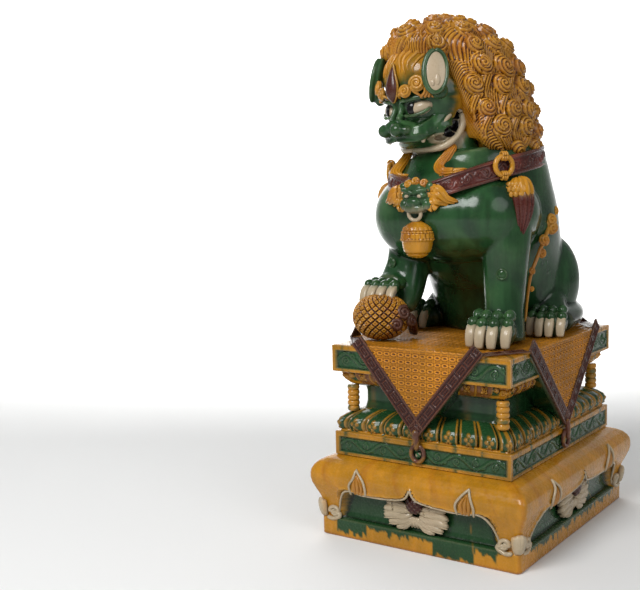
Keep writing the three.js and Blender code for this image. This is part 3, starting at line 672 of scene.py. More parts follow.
def plinth_colour(face, u, z, half):
    tint = np.broadcast_to(AMBER, (len(u), 3)).copy()
    tint = mix(
        tint, ORANGE, 0.55 * smoothstep(z, 14, 0) + 0.3 * smoothstep(np.abs(np.abs(u) - half), 9, 2)
    )
    tint = mix(
        tint, ORANGE,
        0.45 * smoothstep(wander(u + 170 * face + 0.4 * z, 14, 120), 0.1, 0.9) * smoothstep(z, 130, 200),
    )
    below = smoothstep(hem(u, half) - z, -1, 4)
    panel = mix(GREEN * 0.8, AMBER, 0.5 * smoothstep(wander(u + z * 0.1, 12, 50), 0.75, 1.0))
    tint = mix(tint, panel, below * green_run(face, u, np.maximum(z, 0), half))
    return tint


def plinth():
    body = block(
        "plinth_body", FOOT_W, FOOT_D, CUSHION + FOOT_BAND[1:], 4.9, plinth_relief, plinth_colour,
        corner=14, reach=4,
        full=2.0,
    )
    made = [in_plinth(body)]
    for face in range(4):
        half, away = (FOOT_D / 2, FOOT_W / 2) if face % 2 else (FOOT_W / 2, FOOT_D / 2)
        stretch = half / 330
        bulge = lambda z: np.interp(z, [c[0] for c in CUSHION[::-1]], [c[1] for c in CUSHION[::-1]])
        lay = lambda line, proud: np.column_stack(
            [line[:, 0], -away - bulge(line[:, 1]) - proud, line[:, 1]]
        )
        white = []
        for side in (-1, 1):
            edge = through(APRON_HALF * (side * stretch, 1), 150)
            white.append(cord(lay(edge, 0.5), 3.6 + 0.5 * wander(edge[:, 0], 3), 8))
            outline = leaf_edge(side, stretch)
            white.append(cord(lay(outline, 4.0), 3.8, 8))
        rim = join("scallop_edging_%d" % face, white)
        paint(rim, CREAM, reach=3)
        made.append(in_plinth(quarter(rim, face), CREAM_GLAZE))
        leaves = []
        for side in (-1, 1):
            at = side * LEAF_AT * stretch
            for spine, bow in ((-9, -6), (0, 0), (9, 6)):
                line = through(
                    [(at + spine, 148), (at + spine * 0.8 + bow, 180), (at + side * 7, LEAF_TIP - 12)], 20
                )
                width = np.interp(np.linspace(0, 1, 20), [0, 0.4, 1], [7, 7.5, 1.5])
                leaves.append(tube(np.column_stack([lay(line, -0.5), width, width * 0.75]), 10, 0.1))
        veins = join("skirt_leaves_%d" % face, leaves)
        paint(veins, AMBER * (0.9, 0.8, 0.8), reach=5)
        made.append(in_plinth(quarter(veins, face), AMBER_GLAZE))
        made += lotus_spray(face, away)
    made += [corner_shell(sx, sy) for sx, sy in CORNERS]
    return made


def lotus_spray(face, away):
    """The open lotus under the skirt: petals to both sides, a short fan below and a studded seed head."""
    panel = -away + PANEL_DEPTH - 2
    petals = []
    wings = [  # root, middle and tip of a petal as (u, z), and its width
        ((10, 124), (56, 136), (108, 132), 12), ((10, 118), (60, 120), (118, 110), 15),
        ((10, 110), (60, 101), (118, 91), 15), ((8, 102), (50, 84), (100, 74), 13),
        ((6, 98), (36, 72), (70, 66), 10),
    ]
    for side in (-1, 1):
        for root, middle, tip, width in wings:
            line = through([(side * p[0], p[1]) for p in (root, middle, tip)], 24)
            t = np.linspace(0, 1, 24)
            size = width * np.interp(t, [0, 0.25, 0.75, 1], [0.5, 0.85, 1.12, 0.9])
            lift = 8 + 9 * np.sin(np.pi * np.minimum(t * 0.9 + 0.1, 1))
            curve = np.column_stack([line[:, 0], panel - lift, line[:, 1]])
            petals.append(
                strand(np.column_stack([curve[::3], size[::3], size[::3] * 0.62]), 20, 24, 0.16)
            )
            for share in (0.3, -0.35):
                rib = np.column_stack([line[:, 0], panel - lift - size * 0.56, line[:, 1] + size * share])
                petals.append(cord(rib[3:-2], 1.7, 6))
    for lean in (-16, -6, 5, 15):
        line = [
            (lean * 0.4, panel - 9, 104, 7, 8), (lean * 0.8, panel - 12, 88, 8, 8),
            (lean, panel - 5, 68, 4, 4),
        ]
        petals.append(tube(through(line, 14), 10, 0.15))
    white = paint(join("lotus_petals_%d" % face, petals), CREAM, reach=5, full=1.5)
    pod = ball((0, panel - 22, 143), (27, 14, 27), around=64, rings=40)
    co = points(pod)
    u, z = co[:, 0], co[:, 2] - 143
    studs = np.cos(u / 8 * np.pi) * np.cos(z / 8 * np.pi)
    move(pod, co + normals(pod) * (1.6 * studs)[:, None])
    paint(pod, mix(AUBERGINE * 0.7, CREAM * 0.5, 0.5 * smoothstep(studs, 0.55, 0.95)), reach=3)
    pod.name = "lotus_seed_head_%d" % face
    return [in_plinth(quarter(white, face), CREAM_GLAZE), in_plinth(quarter(pod, face), DARK_GLAZE)]


def corner_shell(sx, sy):
    """A folded white leaf round the foot of a corner, with a scroll to each side."""
    cx, cy = FOOT_W / 2 - 6, FOOT_D / 2 - 6
    lobes = []
    for turn in (-62, -38, -14, 14, 38, 62):
        a = math.radians(45 + turn * 0.85)
        out = np.array((math.cos(a), math.sin(a)))
        high = 112 - abs(turn) * 0.28
        stops = [
            (*(out * 2), 56, 9, 8), (*(out * 9), 76, 9, 8), (*(out * 12), 96, 9, 7),
            (*(out * 9), high, 7, 5),
        ]
        lobes.append(tube(through(stops, 20), 12, 0.16))
    for flip in (0, 1):
        spiral = coil((0, 0), 16, 1.35, 200, -1, 0.2, 50)
        line = np.column_stack([-30 - spiral[:, 0], np.full(50, 7.0), 74 + spiral[:, 1]])
        stem = through([(-8, 8, 58), (-26, 8, 54), (-44, 7, 62), (-46.5, 7, 72)], 16)
        roll = np.vstack([stem[:-1], line[3:]])
        roll = roll[:, [1, 0, 2]] if flip else roll
        lobes.append(cord(roll, np.linspace(5.6, 4.2, len(roll)), 10))
    shell = join("corner_leaf_" + corner_name(sx, sy), lobes)
    co = points(shell)
    move(shell, (co * (1.25, 1.25, 1.12) - (4, 4, 7.5) + (cx, cy, 0)) * (sx, sy, 1))
    outward(shell)
    paint(shell, mix(CREAM, AMBER, 0.45 * smoothstep(cloudy(co, 5, 30), 0.2, 0.9)), reach=5)
    return in_plinth(shell, CREAM_GLAZE)


# ---------- pedestal ----------
RIM, SUNK = 11, 4.5


def running_scroll(half, low, high):
    """A doubled vine of S-scrolls with a curl in every bay, between two heights, as (u, z) points."""
    middle, swing = (low + high) / 2, (high - low) / 2 - 5
    bay = 62.0
    count = max(2, round((2 * half - 30) / bay))
    bay = (2 * half - 30) / count
    lines = []
    u = np.arange(-half + 16, half - 16, 1.4)
    for shift in (-2.2, 2.2):
        lines.append(
            np.column_stack([u, middle + shift + swing * 0.86 * np.sin((u + half - 15) / bay * np.pi)])
        )
    for k in range(count):
        at = -half + 15 + (k + 0.5) * bay
        way = 1 if k % 2 else -1
        lines.append(coil((at, middle + way * swing * 0.12), swing * 0.62, 1.6, 90 * way, way, 0.16, 44))
        lines.append(
            coil((at + bay * 0.36, middle - way * swing * 0.42), swing * 0.34, 1.1, 0, -way, 0.2, 24)
        )
    return np.vstack(lines)


def slab_relief(z0, z1):
    scrolls = {}

    def relief(face, u, z, half):
        out = np.zeros(len(u))
        for h in (LOW_SLAB[0] / 2, LOW_SLAB[1] / 2, TOP_SLAB[0] / 2, TOP_SLAB[1] / 2):
            here = np.abs(half - h) < 0.1
            inner = here & (np.abs(u) < h - RIM) & (z > z0 + RIM - 2) & (z < z1 - RIM - 5)
            if not inner.any():
                continue
            line = scrolls.setdefault(h, running_scroll(h, z0 + RIM, z1 - RIM - 6))
            d = nearness(u[inner], z[inner], line)
            border = np.minimum(
                h - RIM - np.abs(u[inner]), np.minimum(z[inner] - z0 - RIM + 2, z1 - RIM - 5 - z[inner])
            )
            out[inner] = -SUNK * smoothstep(border, 0, 3) + ridge(d, 2.3, 3.4) * smoothstep(border, 1, 4)
        groove = ridge(z - (z1 - 7), 1.6, -2.0) + ridge(z - (z1 - 13), 1.2, -1.2) + ridge(
            z - (z0 + 5), 1.2, -1.2
        )
        return out + groove * (np.abs(u) < half - 2)

    return relief


def slab_colour(z0, z1, seed):
    def colour(face, u, z, half):
        inner = smoothstep(half - RIM - np.abs(u), -1, 2)
        inner = inner * smoothstep(z, z0 + RIM - 4, z0 + RIM) * smoothstep(z1 - RIM - 5 - z, -1, 2)
        tint = mix(AMBER * 0.9, GREEN, inner)
        run = smoothstep(wander(u + face * 211, seed, 46), 0.35, 0.6) * (1 - inner)
        return mix(tint, GREEN * 0.9, run * 0.9 * (np.abs(u) < half - 9))

    return colour


def pedestal():
    made = []
    for name, (w, d, z0, z1), seed in (("lower_slab", LOW_SLAB, 21), ("top_slab", TOP_SLAB, 27)):
        profile = [(z1, -90), (z1, -8), (z1 - 1, -1.5), (z1 - 3, 0), (z0 + 2, 0), (z0, -2), (z0, -90)]
        slab = block(
            name, w, d, profile, FINE, slab_relief(z0, z1), slab_colour(z0, z1, seed), reach=4, full=1.3
        )
        made.append(in_pedestal(slab))
    made += [lotus_cushion(), waist(), capital(), *balusters(), cloth_top(), *cloth_corners()]
    return made


PETAL_PITCH = 63


def petal_phase(u, half):
    count = np.round(2 * half / PETAL_PITCH)
    pitch = 2 * half / count
    return ((u + half) / pitch + 0.5) % 1 - 0.5, pitch


# the trefoil on a petal: u, height and size of each bump
TREFOIL = [(0, 17, 6.5), (-8.5, 5, 6.5), (8.5, 5, 6.5), (0, -5, 5), (-5, -12, 4), (5, -12, 4)]


def lotus_cushion():
    def height_on_petal(z):
        return z - 343

    def parts(u, z, half):
        share, pitch = petal_phase(u, half)
        du = share * pitch
        rib = ridge(np.abs(np.abs(du) - pitch / 2 + 7), 3.3, 4.0)
        foil = np.zeros(len(u))
        for fu, fz, size in TREFOIL:
            foil = np.maximum(foil, ridge(np.hypot(du - fu, height_on_petal(z) - fz), size, 4.0))
        return share, rib, foil

    def relief(face, u, z, half):
        share, rib, foil = parts(u, z, half)
        level = smoothstep(z, 325, 331) * smoothstep(z, 391, 382)
        lobe = -11 * (np.abs(share) * 2) ** 3
        return (lobe + rib + foil) * level * (np.abs(u) < half - 3)

    def colour(face, u, z, half):
        share, rib, foil = parts(u, z, half)
        gold = np.clip(smoothstep(rib, 0.7, 2.2) + smoothstep(foil, 0.8, 2.4), 0, 1)
        gold = np.maximum(gold, smoothstep(np.abs(u), half - 12, half - 5))
        tint = mix(GREEN * 0.9, AMBER * 0.8, gold * (0.8 + 0.2 * wander(u + z, 33, 30)))
        rim = smoothstep(z, 331, 327)
        run = smoothstep(wander(u + face * 97, 31, 50), 0.3, 0.5)
        return mix(tint, mix(AMBER, GREEN, run), rim)

    profile = [(390, -140), (390, -64), (388, -52), (382, -36), (374, -22), (364, -10), (352, -4), (340, -4),
               (332, -7), (327, -11), (323.5, -9), (321, -12)]
    piece = block(
        "lotus_cushion", LOW_SLAB[0], LOW_SLAB[1], profile, FINE, relief, colour, corner=10, reach=4,
        full=1.5,
    )
    return in_pedestal(piece)


def waist():
    def colour(face, u, z, half):
        run = smoothstep(wander(u + face * 133, 77, 80), 0.55, 0.9) * 0.4
        return mix(GREEN * 0.75, AMBER * 0.5, run)

    profile = [(476, -60), (474, 14), (462, 9), (444, 5), (412, 5), (394, 9), (380, 16), (378, -60)]
    return in_pedestal(block("waist", *WAIST, profile, 6, None, colour, reach=4), BODY_GLAZE)


def capital():
    """The flared capital: cloud scrolls at the corners and square panels with a four-petal rosette."""
    def parts(u, z, half):
        run = half - np.abs(u)
        bay = (run - 75) / 58
        du = ((bay + 0.5) % 1 - 0.5) * 58
        dz = z - 491
        r, a = np.hypot(du, dz), np.arctan2(dz, du)
        in_bay = run > 47
        petals = ridge(np.abs(r - 7.5 - 3.5 * np.cos(4 * a + np.pi)), 2.6, 3.2) + ridge(r, 3.2, 3.5)
        bar = ridge(np.abs(np.abs(du) - 29), 2.6, 3.0)
        scroll = np.zeros(len(u))
        corner_lines = np.vstack(
            [coil((14, 488), 10, 1.5, 180, -1, 0.2, 40), coil((36, 494), 8, 1.3, 0, 1, 0.2, 36)]
        )
        near = ~in_bay
        if near.any():
            scroll[near] = ridge(nearness(run[near], z[near], corner_lines), 2.4, 4.5)
        return in_bay, np.where(in_bay, petals + bar, 0) * 1.6, scroll * 1.5

    def relief(face, u, z, half):
        in_bay, rosette, scroll = parts(u, z, half)
        level = smoothstep(z, 470, 477) * smoothstep(z, 507, 503)
        return (rosette + scroll - 2) * level * (np.abs(u) < half - 1)

    def colour(face, u, z, half):
        in_bay, rosette, scroll = parts(u, z, half)
        tint = np.broadcast_to(AMBER * 0.95, (len(u), 3))
        tint = mix(
            tint, AUBERGINE * 1.6,
            0.7 * in_bay * smoothstep(rosette, 1.6, 0.2) * smoothstep(half - np.abs(u), 47, 52),
        )
        hollow = (~in_bay) * smoothstep(scroll, 3.2, 0.8)
        hollow = hollow * smoothstep(half - np.abs(u), 22, 30) * smoothstep(z, 474, 480)
        run = smoothstep(wander(u + face * 57, 19, 60), 0.5, 0.8) * 0.8
        return mix(
            mix(tint, GREEN, hollow), GREEN * 0.8,
            np.maximum(run * smoothstep(z, 484, 470), 0.9 * smoothstep(z, 470, 464)),
        )

    profile = [
        (510, -90), (510, -14), (507, -13), (504, -17), (492, -19), (482, -24), (474, -32), (468, -38),
        (462, -50), (459, -58), (458, -90),
    ]
    piece = block("capital", LOW_SLAB[0], LOW_SLAB[1], profile, FINE, relief, colour, reach=4, full=1.4)
    return in_pedestal(piece)


POST_X, POST_Y, POST_TOP, POST_FOOT, POST_BEADS = 249, 338, 464, 383, 5
POST_SIDES, POST_RINGS = 28, 66


def balusters():
    made = []
    heights = np.linspace(POST_TOP, POST_FOOT, POST_RINGS)
    share = (heights - POST_FOOT) / (POST_TOP - POST_FOOT)
    beads = 15.2 + 3.6 * np.abs(np.sin(share * np.pi * POST_BEADS)) ** 0.6
    for sx, sy in CORNERS:
        def place(turn, down):
            k = np.clip(down - 1, 0, POST_RINGS - 1)
            a = turn / POST_SIDES * 2 * np.pi
            r = np.where((down == 0) | (down == POST_RINGS + 1), 0, beads[k])
            return np.column_stack([sx * POST_X + r * np.cos(a), sy * POST_Y + r * np.sin(a), heights[k]])

        post = wrap("baluster_" + corner_name(sx, sy), POST_SIDES, POST_RINGS + 1, place)
        green = smoothstep(cloudy(points(post), 9, 40), 0.25, 0.8) * 0.8
        paint(post, mix(AMBER * 0.95, GREEN, green), reach=5, full=1.0)
        made.append(in_pedestal(post, AMBER_GLAZE))
    return made


# ---------- the moulded cloth ----------
WEAVE_U, WEAVE_V = 24.0, 20.5


def weave(u, v):
    """Height of the cloth's weave: a flat oval loop in every cell, double threads between the columns."""
    du = (u / WEAVE_U + 0.5) % 1 * WEAVE_U - WEAVE_U / 2
    dv = (v / WEAVE_V + 0.5) % 1 * WEAVE_V - WEAVE_V / 2
    oval = np.hypot(du / 8.6, dv / 4.6)
    loop = np.exp(-(((oval - 1) / 0.36) ** 2)) * 3.0
    thread = np.exp(-(((np.abs(du) - 9.6) / 1.5) ** 2)) * smoothstep(np.abs(dv), 2, 6) * 2.2
    bar = np.exp(-(((np.abs(dv) - 9.0) / 1.5) ** 2)) * 1.4
    return np.maximum(np.maximum(loop, thread), bar)


def sheet_of_clay(name, corners, thick, step, lift, colour, cuts=(), **painting):
    """A flat sheet lying in (u, v), raised by lift(u, v) on its upper side.

    Straight cuts (point, normal) trim it."""
    (u0, v0), (u1, v1) = corners
    nu, nv = math.ceil((u1 - u0) / step), math.ceil((v1 - v0) / step)
    bare()
    bpy.ops.mesh.primitive_grid_add(x_subdivisions=nu, y_subdivisions=nv, size=2)
    piece = bpy.context.object
    piece.name = name
    co = points(piece) * MM
    flat = np.column_stack([u0 + (co[:, 0] + 1) / 2 * (u1 - u0), v0 + (co[:, 1] + 1) / 2 * (v1 - v0)])
    move(piece, np.column_stack([flat, lift(*flat.T)]))
    bpy.ops.object.mode_set(mode="EDIT")
    for at, normal in cuts:
        bpy.ops.mesh.select_all(action="SELECT")
        bpy.ops.mesh.bisect(plane_co=[v * MM for v in at], plane_no=normal, clear_outer=True)
    bpy.ops.mesh.select_all(action="SELECT")
    bpy.ops.mesh.extrude_region_move(TRANSFORM_OT_translate={"value": (0, 0, 0)})
    bpy.ops.object.mode_set(mode="OBJECT")
    picked = np.empty(len(piece.data.vertices), bool)
    piece.data.vertices.foreach_get("select", picked)
    co = points(piece)
    co[picked, 2] = -thick
    move(piece, co)
    settle(piece)
    co = points(piece)
    return paint(piece, colour(co) if callable(colour) else colour, **painting)


def cloth_colour(height, base=CLOTH_AMBER, low=-1.5, high=2.4):
    def colour(co):
        worn = smoothstep(cloudy(co, 15, 160), -0.4, 0.9)
        tint = mix(base * 0.5, base, smoothstep(height(co), low, high))
        return tint * (0.82 + 0.18 * worn)[:, None]

    return colour


def stand_up(piece, away):
    """Turns a sheet drawn flat, (u, v) with v upwards, to hang on the front at y = -away."""
    co = points(piece)
    move(piece, np.column_stack([co[:, 0], -away - co[:, 2], co[:, 1]]))
    outward(piece)
    return piece


LINK = 41  # from one long link of the border to the next


def link_height(s, t, width):
    """Border of long links: raised hems, and between them rectangles with a bar across."""
    cell = (s / LINK + 0.5) % 1 * LINK - LINK / 2
    box_edge = np.minimum(np.abs(np.abs(cell) - 15), 9)
    side_edge = np.abs(np.abs(t) - width * 0.19)
    frame_line = np.where(np.abs(cell) < 16.5, ridge(side_edge, 1.9, 2.6), 0)
    cross = np.where(np.abs(t) < width * 0.22, ridge(box_edge, 1.9, 2.6), 0)
    inner = np.where(np.abs(cell) < 11, ridge(t, 1.5, 1.6), 0)
    hems = ridge(np.abs(t) - width * 0.42, 2.8, 3.0)
    return np.maximum(np.maximum(frame_line, cross), np.maximum(hems, inner))


def border_strip(name, start, end, thick=5):
    """One length of the dark border, drawn flat from start to end in (u, z)."""
    start, end = np.array(start, float), np.array(end, float)
    length = np.linalg.norm(end - start)
    strip = sheet_of_clay(
        name, ((0, -BORDER / 2), (length, BORDER / 2)), thick, 2.2, lambda s,
        t: link_height(s, t, BORDER),
        lambda co: mix(
            AUBERGINE * 0.55, AUBERGINE * 1.2 + (0.012, 0.006, 0), smoothstep(co[:, 2], 0, 2.6)
        ),
        reach=4, full=1.2,
    )
    along = (end - start) / length
    across = np.array((-along[1], along[0]))
    co = points(strip)
    flat = start + co[:, :1] * along + co[:, 1:2] * across
    move(strip, np.column_stack([flat, co[:, 2]]))
    return strip


def cloth_corners():
    made = []
    for face in range(4):
        half, tip = SIDE_FLAP if face % 2 else FRONT_FLAP
        away = (TOP_SLAB[0] if face % 2 else TOP_SLAB[1]) / 2 + 7
        slab_away = (LOW_SLAB[0] if face % 2 else LOW_SLAB[1]) / 2
        waist_away = (WAIST[0] if face % 2 else WAIST[1]) / 2
        drop = CLOTH_TOP - tip
        slope = np.array((half, drop)) / math.hypot(half, drop)
        cuts = [((0, tip + 6, 0), (slope[1], -slope[0], 0)), ((0, tip + 6, 0), (-slope[1], -slope[0], 0))]
        height = lambda co: co[:, 2]
        field = sheet_of_clay(
            "cloth_fall_%d" % face, ((-half, tip), (half, CLOTH_TOP - 1)), 6, 2.1, lambda u,
            v: weave(u, v - CLOTH_TOP) - 2.5,
            cloth_colour(height, CLOTH_AMBER, -2.2, 0.2), cuts, reach=3, full=1.0,
        )
        made.append(in_pedestal(quarter(stand_up(field, away), face), CLOTH_GLAZE))
        strips = []
        inward = BORDER / 2 * 0.98
        for side in (-1, 1):
            top = np.array((side * half, CLOTH_TOP)) - np.array((side * slope[1], -slope[0])) * inward
            low = np.array((0, tip)) - np.array((side * slope[1], -slope[0])) * inward
            low = low + (top - low) * 0.035
            pair = (top, low) if side > 0 else (low, top)
            strip = border_strip("strip", *pair)
            strips.append(stand_up(strip, away + 0.5 + 0.5 * (side > 0)))
        border = join("cloth_border_%d" % face, strips)
        made.append(in_pedestal(quarter(border, face), DARK_GLAZE))
        made.append(in_pedestal(quarter(wedge(face, half, tip, away, waist_away), face), BODY_GLAZE))
        made += corner_loop(face, tip, away, slab_away)
    made += [in_pedestal(p, DARK_GLAZE) for p in top_borders()]
    return made


def wedge(face, half, tip, away, waist_away):
    """The green clay that fills the space behind a hanging corner."""
    bare()
    bpy.ops.mesh.primitive_cylinder_add(vertices=3, radius=1, depth=2)
    body = bpy.context.object
    co = points(body) * MM
    corner = np.array([(half - 5, CLOTH_TOP - 12), (-half + 5, CLOTH_TOP - 12), (0, tip + 7)])
    spokes = np.arctan2(co[:, 1], co[:, 0]).round(3)
    flat = corner[np.searchsorted(np.unique(spokes), spokes)]
    y = np.where(co[:, 2] > 0, -away + 3, -waist_away + 6)
    move(body, np.column_stack([flat[:, 0], y, flat[:, 1]]))
    body.name = "cloth_backing_%d" % face
    settle(body)
    apply(body, "REMESH", mode="VOXEL", voxel_size=7 * MM)
    apply(body, "SMOOTH", factor=0.5, iterations=2)
    settle(body)
    co = points(body)
    return paint(body, mix(GREEN * 0.7, AMBER * 0.5, 0.5 * smoothstep(cloudy(co, 33, 50), 0.5, 1)))


def corner_loop(face, tip, away, slab_away):
    """The knot at a corner's tip and the ring of cord under it, round a white button."""
    knot = tube(through([
        (0, -away - 1, tip + 30, 10, 6), (0, -away - 3, tip + 10, 11, 8),
        (0, -slab_away - 13, tip - 14, 9, 8),
        (0, -slab_away - 9, tip - 34, 7, 6),
    ], 20), 14, 0.15)
    t = np.linspace(-0.15, 1.15, 50) * 2 * np.pi * 0.87
    hoop = np.column_stack(
        [21 * np.sin(t + 0.5), np.full(50, -slab_away - 6.0), 290 + 24 * np.cos(t + 0.5)]
    )
    roll = cord(hoop, 6.4, 12)
    rope = join("corner_knot_%d" % face, [knot, roll])
    co = points(rope)
    paint(rope, mix(AUBERGINE * 1.2, AMBER * 0.6, 0.7 * smoothstep(cloudy(co, 3, 24), 0.0, 0.8)))
    button = ball((0, -slab_away - 1, 285), (9, 6, 9))
    co = points(button)
    button.name = "corner_button_%d" % face
    paint(button, mix(GREEN * 1.3, CREAM, smoothstep(cloudy(co, 7, 12), -0.3, 0.3)))
    return [in_pedestal(quarter(rope, face), DARK_GLAZE), in_pedestal(quarter(button, face), CREAM_GLAZE)]


CLOTH_X, CLOTH_Y = TOP_SLAB[0] / 2 + 6, TOP_SLAB[1] / 2 + 6


def cloth_edge(qx, qy):
    """The cloth's edge across a corner of the slab's top: its two ends and the direction out."""
    a = np.array((qx * FRONT_FLAP[0], qy * CLOTH_Y), float)
    b = np.array((qx * CLOTH_X, qy * SIDE_FLAP[0]), float)
    n = np.array((-(b - a)[1], (b - a)[0]))
    return a, b, n / np.linalg.norm(n) * np.sign(n @ a)


def cloth_top():
    cuts = []
    for corner in CORNERS:
        a, _, n = cloth_edge(*corner)
        cuts.append(((*a, 0), (*n, 0)))
    top = sheet_of_clay(
        "cloth_top", ((-CLOTH_X, -CLOTH_Y), (CLOTH_X, CLOTH_Y)), 6, 3.0,
        lambda u, v: weave(u, v + CLOTH_Y) * 0.8 - 2.5,
        cloth_colour(lambda co: co[:, 2], CLOTH_AMBER, -2.2, 0), cuts, reach=3, full=1.0,
    )
    co = points(top)
    move(top, co + (0, 0, CLOTH_TOP - 1.5))
    return in_pedestal(top, CLOTH_GLAZE)


def top_borders():
    """The border runs on over the slab's top, across each corner from one fall to the next."""
    made = []
    for corner in CORNERS:
        a, b, n = cloth_edge(*corner)
        strip = border_strip("cloth_edge_" + corner_name(*corner), a - n * 17, b - n * 17, 4)
        move(strip, points(strip) * (1, 1, 0.45) + (0, 0, CLOTH_TOP - 1))
        outward(strip)
        made.append(strip)
    return made


# ---------- lion: body ----------
LEG_X, LEG_Y = 166, -142
FOREPAW = (LEG_X + 5, LEG_Y - 68, 6)  # x, y and turn in degrees
HIND_X, HIND_Y, HIND_TURN, HIND_SIZE = 224, 62, 8, 0.88
TOES = (-1.5, -0.5, 0.5, 1.5)


def placed(piece, at, turn=0.0, size=1.0):
    """Turns a piece about the upright axis by `turn` degrees and sets it down at a point."""
    co = points(piece) * size
    c, s = math.cos(math.radians(turn)), math.sin(math.radians(turn))
    move(
        piece, np.column_stack([co[:, 0] * c - co[:, 1] * s, co[:, 0] * s + co[:, 1] * c, co[:, 2]]) + at
    )
    return piece


def limb(stops, rings=24):
    return strand(stops, 32, rings, cap=0.02)


def hindquarter():
    return [
        ball((150, 188, 748), (84, 126, 158), -29, 48, 30),
        limb([(166, 158, 700, 60, 60), (196, 100, 640, 62, 44), (216, 40, 632, 56, 38)]),
        limb([(168, 322, 640, 60, 42), (192, 220, 638, 70, 46), (216, 100, 630, 58, 40)]),
    ]


def paw_lump(x, y, turn, size=1.0):
    return placed(ball((0, -24, 40), (64, 66, 56)), (x, y, LION_BASE), turn, size)


def body():
    lumps = [
        strand([
            (-4, 206, 560, 196, 164), (-4, 178, 700, 214, 194), (-8, 132, 830, 226, 216),
            (-10, 72, 930, 240, 236), (-12, 26, 1020, 240, 236), (-16, 0, 1110, 232, 226),
            (-24, -8, 1180, 200, 196),
        ], 64, 40, 0.02),
        strand(
            [(-30, -130, 1020, 178, 150), (-40, -110, 1090, 160, 128), (-52, -96, 1150, 128, 104)], 48,
            20, 0.02,
        ),
        ball((-8, -86, 974), (240, 212, 150), 0, 64, 40),
        ball((100, -100, 974), (142, 176, 140), 0, 48, 30),
        ball((-126, -96, 972), (150, 180, 142), 0, 48, 30),
        limb([
            (LEG_X - 10, LEG_Y + 24, 1000, 84, 100), (LEG_X, LEG_Y + 4, 890, 72, 80),
            (LEG_X, LEG_Y - 2, 790, 64, 65), (LEG_X + 2, LEG_Y - 12, 690, 58, 60),
            (LEG_X + 2, LEG_Y - 20, 590, 66, 74),
        ]),
        limb([
            (-172, -90, 1000, 82, 100), (-184, -96, 890, 65, 78), (-190, -112, 822, 60, 62),
            (-196, -150, 768, 60, 52), (-203, -200, 744, 58, 40),
        ]),
        limb(
            [
                (-166, -104, 860, 58, 64), (-160, -134, 770, 48, 56), (-160, -158, 716, 42, 46),
                (-164, -180, 680, 30, 30),
            ]
        ),
        *hindquarter(),
        *[flipped(lump) for lump in hindquarter()],
        paw_lump(*FOREPAW),
        *[paw_lump(s * HIND_X, HIND_Y, s * HIND_TURN, HIND_SIZE) for s in (1, -1)],
    ]
    skin = fuse("lion_body", lumps, 5.5, 12)
    bpy.ops.object.mode_set(mode="EDIT")
    bpy.ops.mesh.select_all(action="SELECT")
    bpy.ops.mesh.bisect(
        plane_co=(0, 0, LION_BASE * MM), plane_no=(0, 0, -1), clear_outer=True, use_fill=True
    )
    bpy.ops.object.mode_set(mode="OBJECT")
    co = points(skin)
    tint = mix(GREEN, GREEN * (3.2, 1.9, 2.3), 0.6 * smoothstep(cloudy(co, 51, 200), 0.0, 1))
    # random darker mottles, plus painted shade: the green darkens from the belly down over the legs to the
    # base
    tint = mix(
        tint, MOTTLE_AND_SHADE_GREEN,
        np.clip(
            0.75 * smoothstep(cloudy(co, 52, 130), 0.1, 0.9) + 0.45 * smoothstep(co[:, 2], 800, 610), 0, 1
        ),
    )
    paint(skin, tint, reach=14, full=2.5)
    made = [in_lion(skin)]
    studs = []
    for x, y, z, yaw in ((186, -206, 804, 12), (-202, -176, 826, -16)):
        disc = placed(ball((0, 0, 0), (14, 7, 14)), (x, y, z), yaw)
        hoop = placed(ring((0, 0, 0), 14, 3.2, (0, 1, 0)), (x, y - 3, z), yaw)
        studs += [disc, hoop]
    stud = join("leg_studs", studs)
    paint(stud, GREEN * (1.6, 1.2, 1.2), reach=4)
    made.append(in_lion(stud))
    return made


def toe(u, lag, claws, knuckles):
    """One toe: two knuckles, a frill of three scales and a blade-shaped claw that reaches the ground."""
    knuckles += [
        ball((u * 0.9, -44 + lag, 88), (16.5, 25, 20)),
        ball((u, -76 + lag, 70), (17.5, 19, 18)),
        ball((u, -88 + lag, 60), (8, 9, 13)),
        ball((u - 11, -82 + lag, 56), (7, 10, 11)),
        ball((u + 11, -82 + lag, 56), (7, 10, 11)),
    ]
    stops = [
        (u, -78 + lag, 64, 15.5, 12), (u, -94 + lag, 46, 15.5, 13), (u, -102 + lag, 24, 14.5, 10.5),
        (u * 1.01, -104 + lag, 0.3, 11, 7),
    ]
    claws.append(strand(stops, 20, 16, 0.08, 0.62))


def paw(name, x, y, turn, size=1.0):
    claws, knuckles = [], []
    for k in TOES:
        toe(k * 35, 10 * k * k, claws, knuckles)
    return toes_done(name, claws, knuckles, lambda piece: placed(piece, (x, y, LION_BASE), turn, size))


def toes_done(name, claws, knuckles, setting_down):
    green = fuse(name + "_knuckles", knuckles, 2.6, 2)
    setting_down(green)
    co = points(green)
    tint = mix(
        GREEN * (1.3, 1.05, 1.1), GREEN * (3.0, 1.9, 2.0), smoothstep(cloudy(co, 61, 30), -0.2, 0.9) * 0.6
    )
    paint(green, tint, reach=8, full=1.6)
    white = join(name + "_claws", claws)
    setting_down(white)
    co = points(white)
    high = smoothstep(co[:, 2] - co[:, 2].min(), 58, 74)
    paint(white, mix(CREAM, GREEN, high), reach=5)
    return [in_lion(green), in_lion(white, CREAM_GLAZE)]


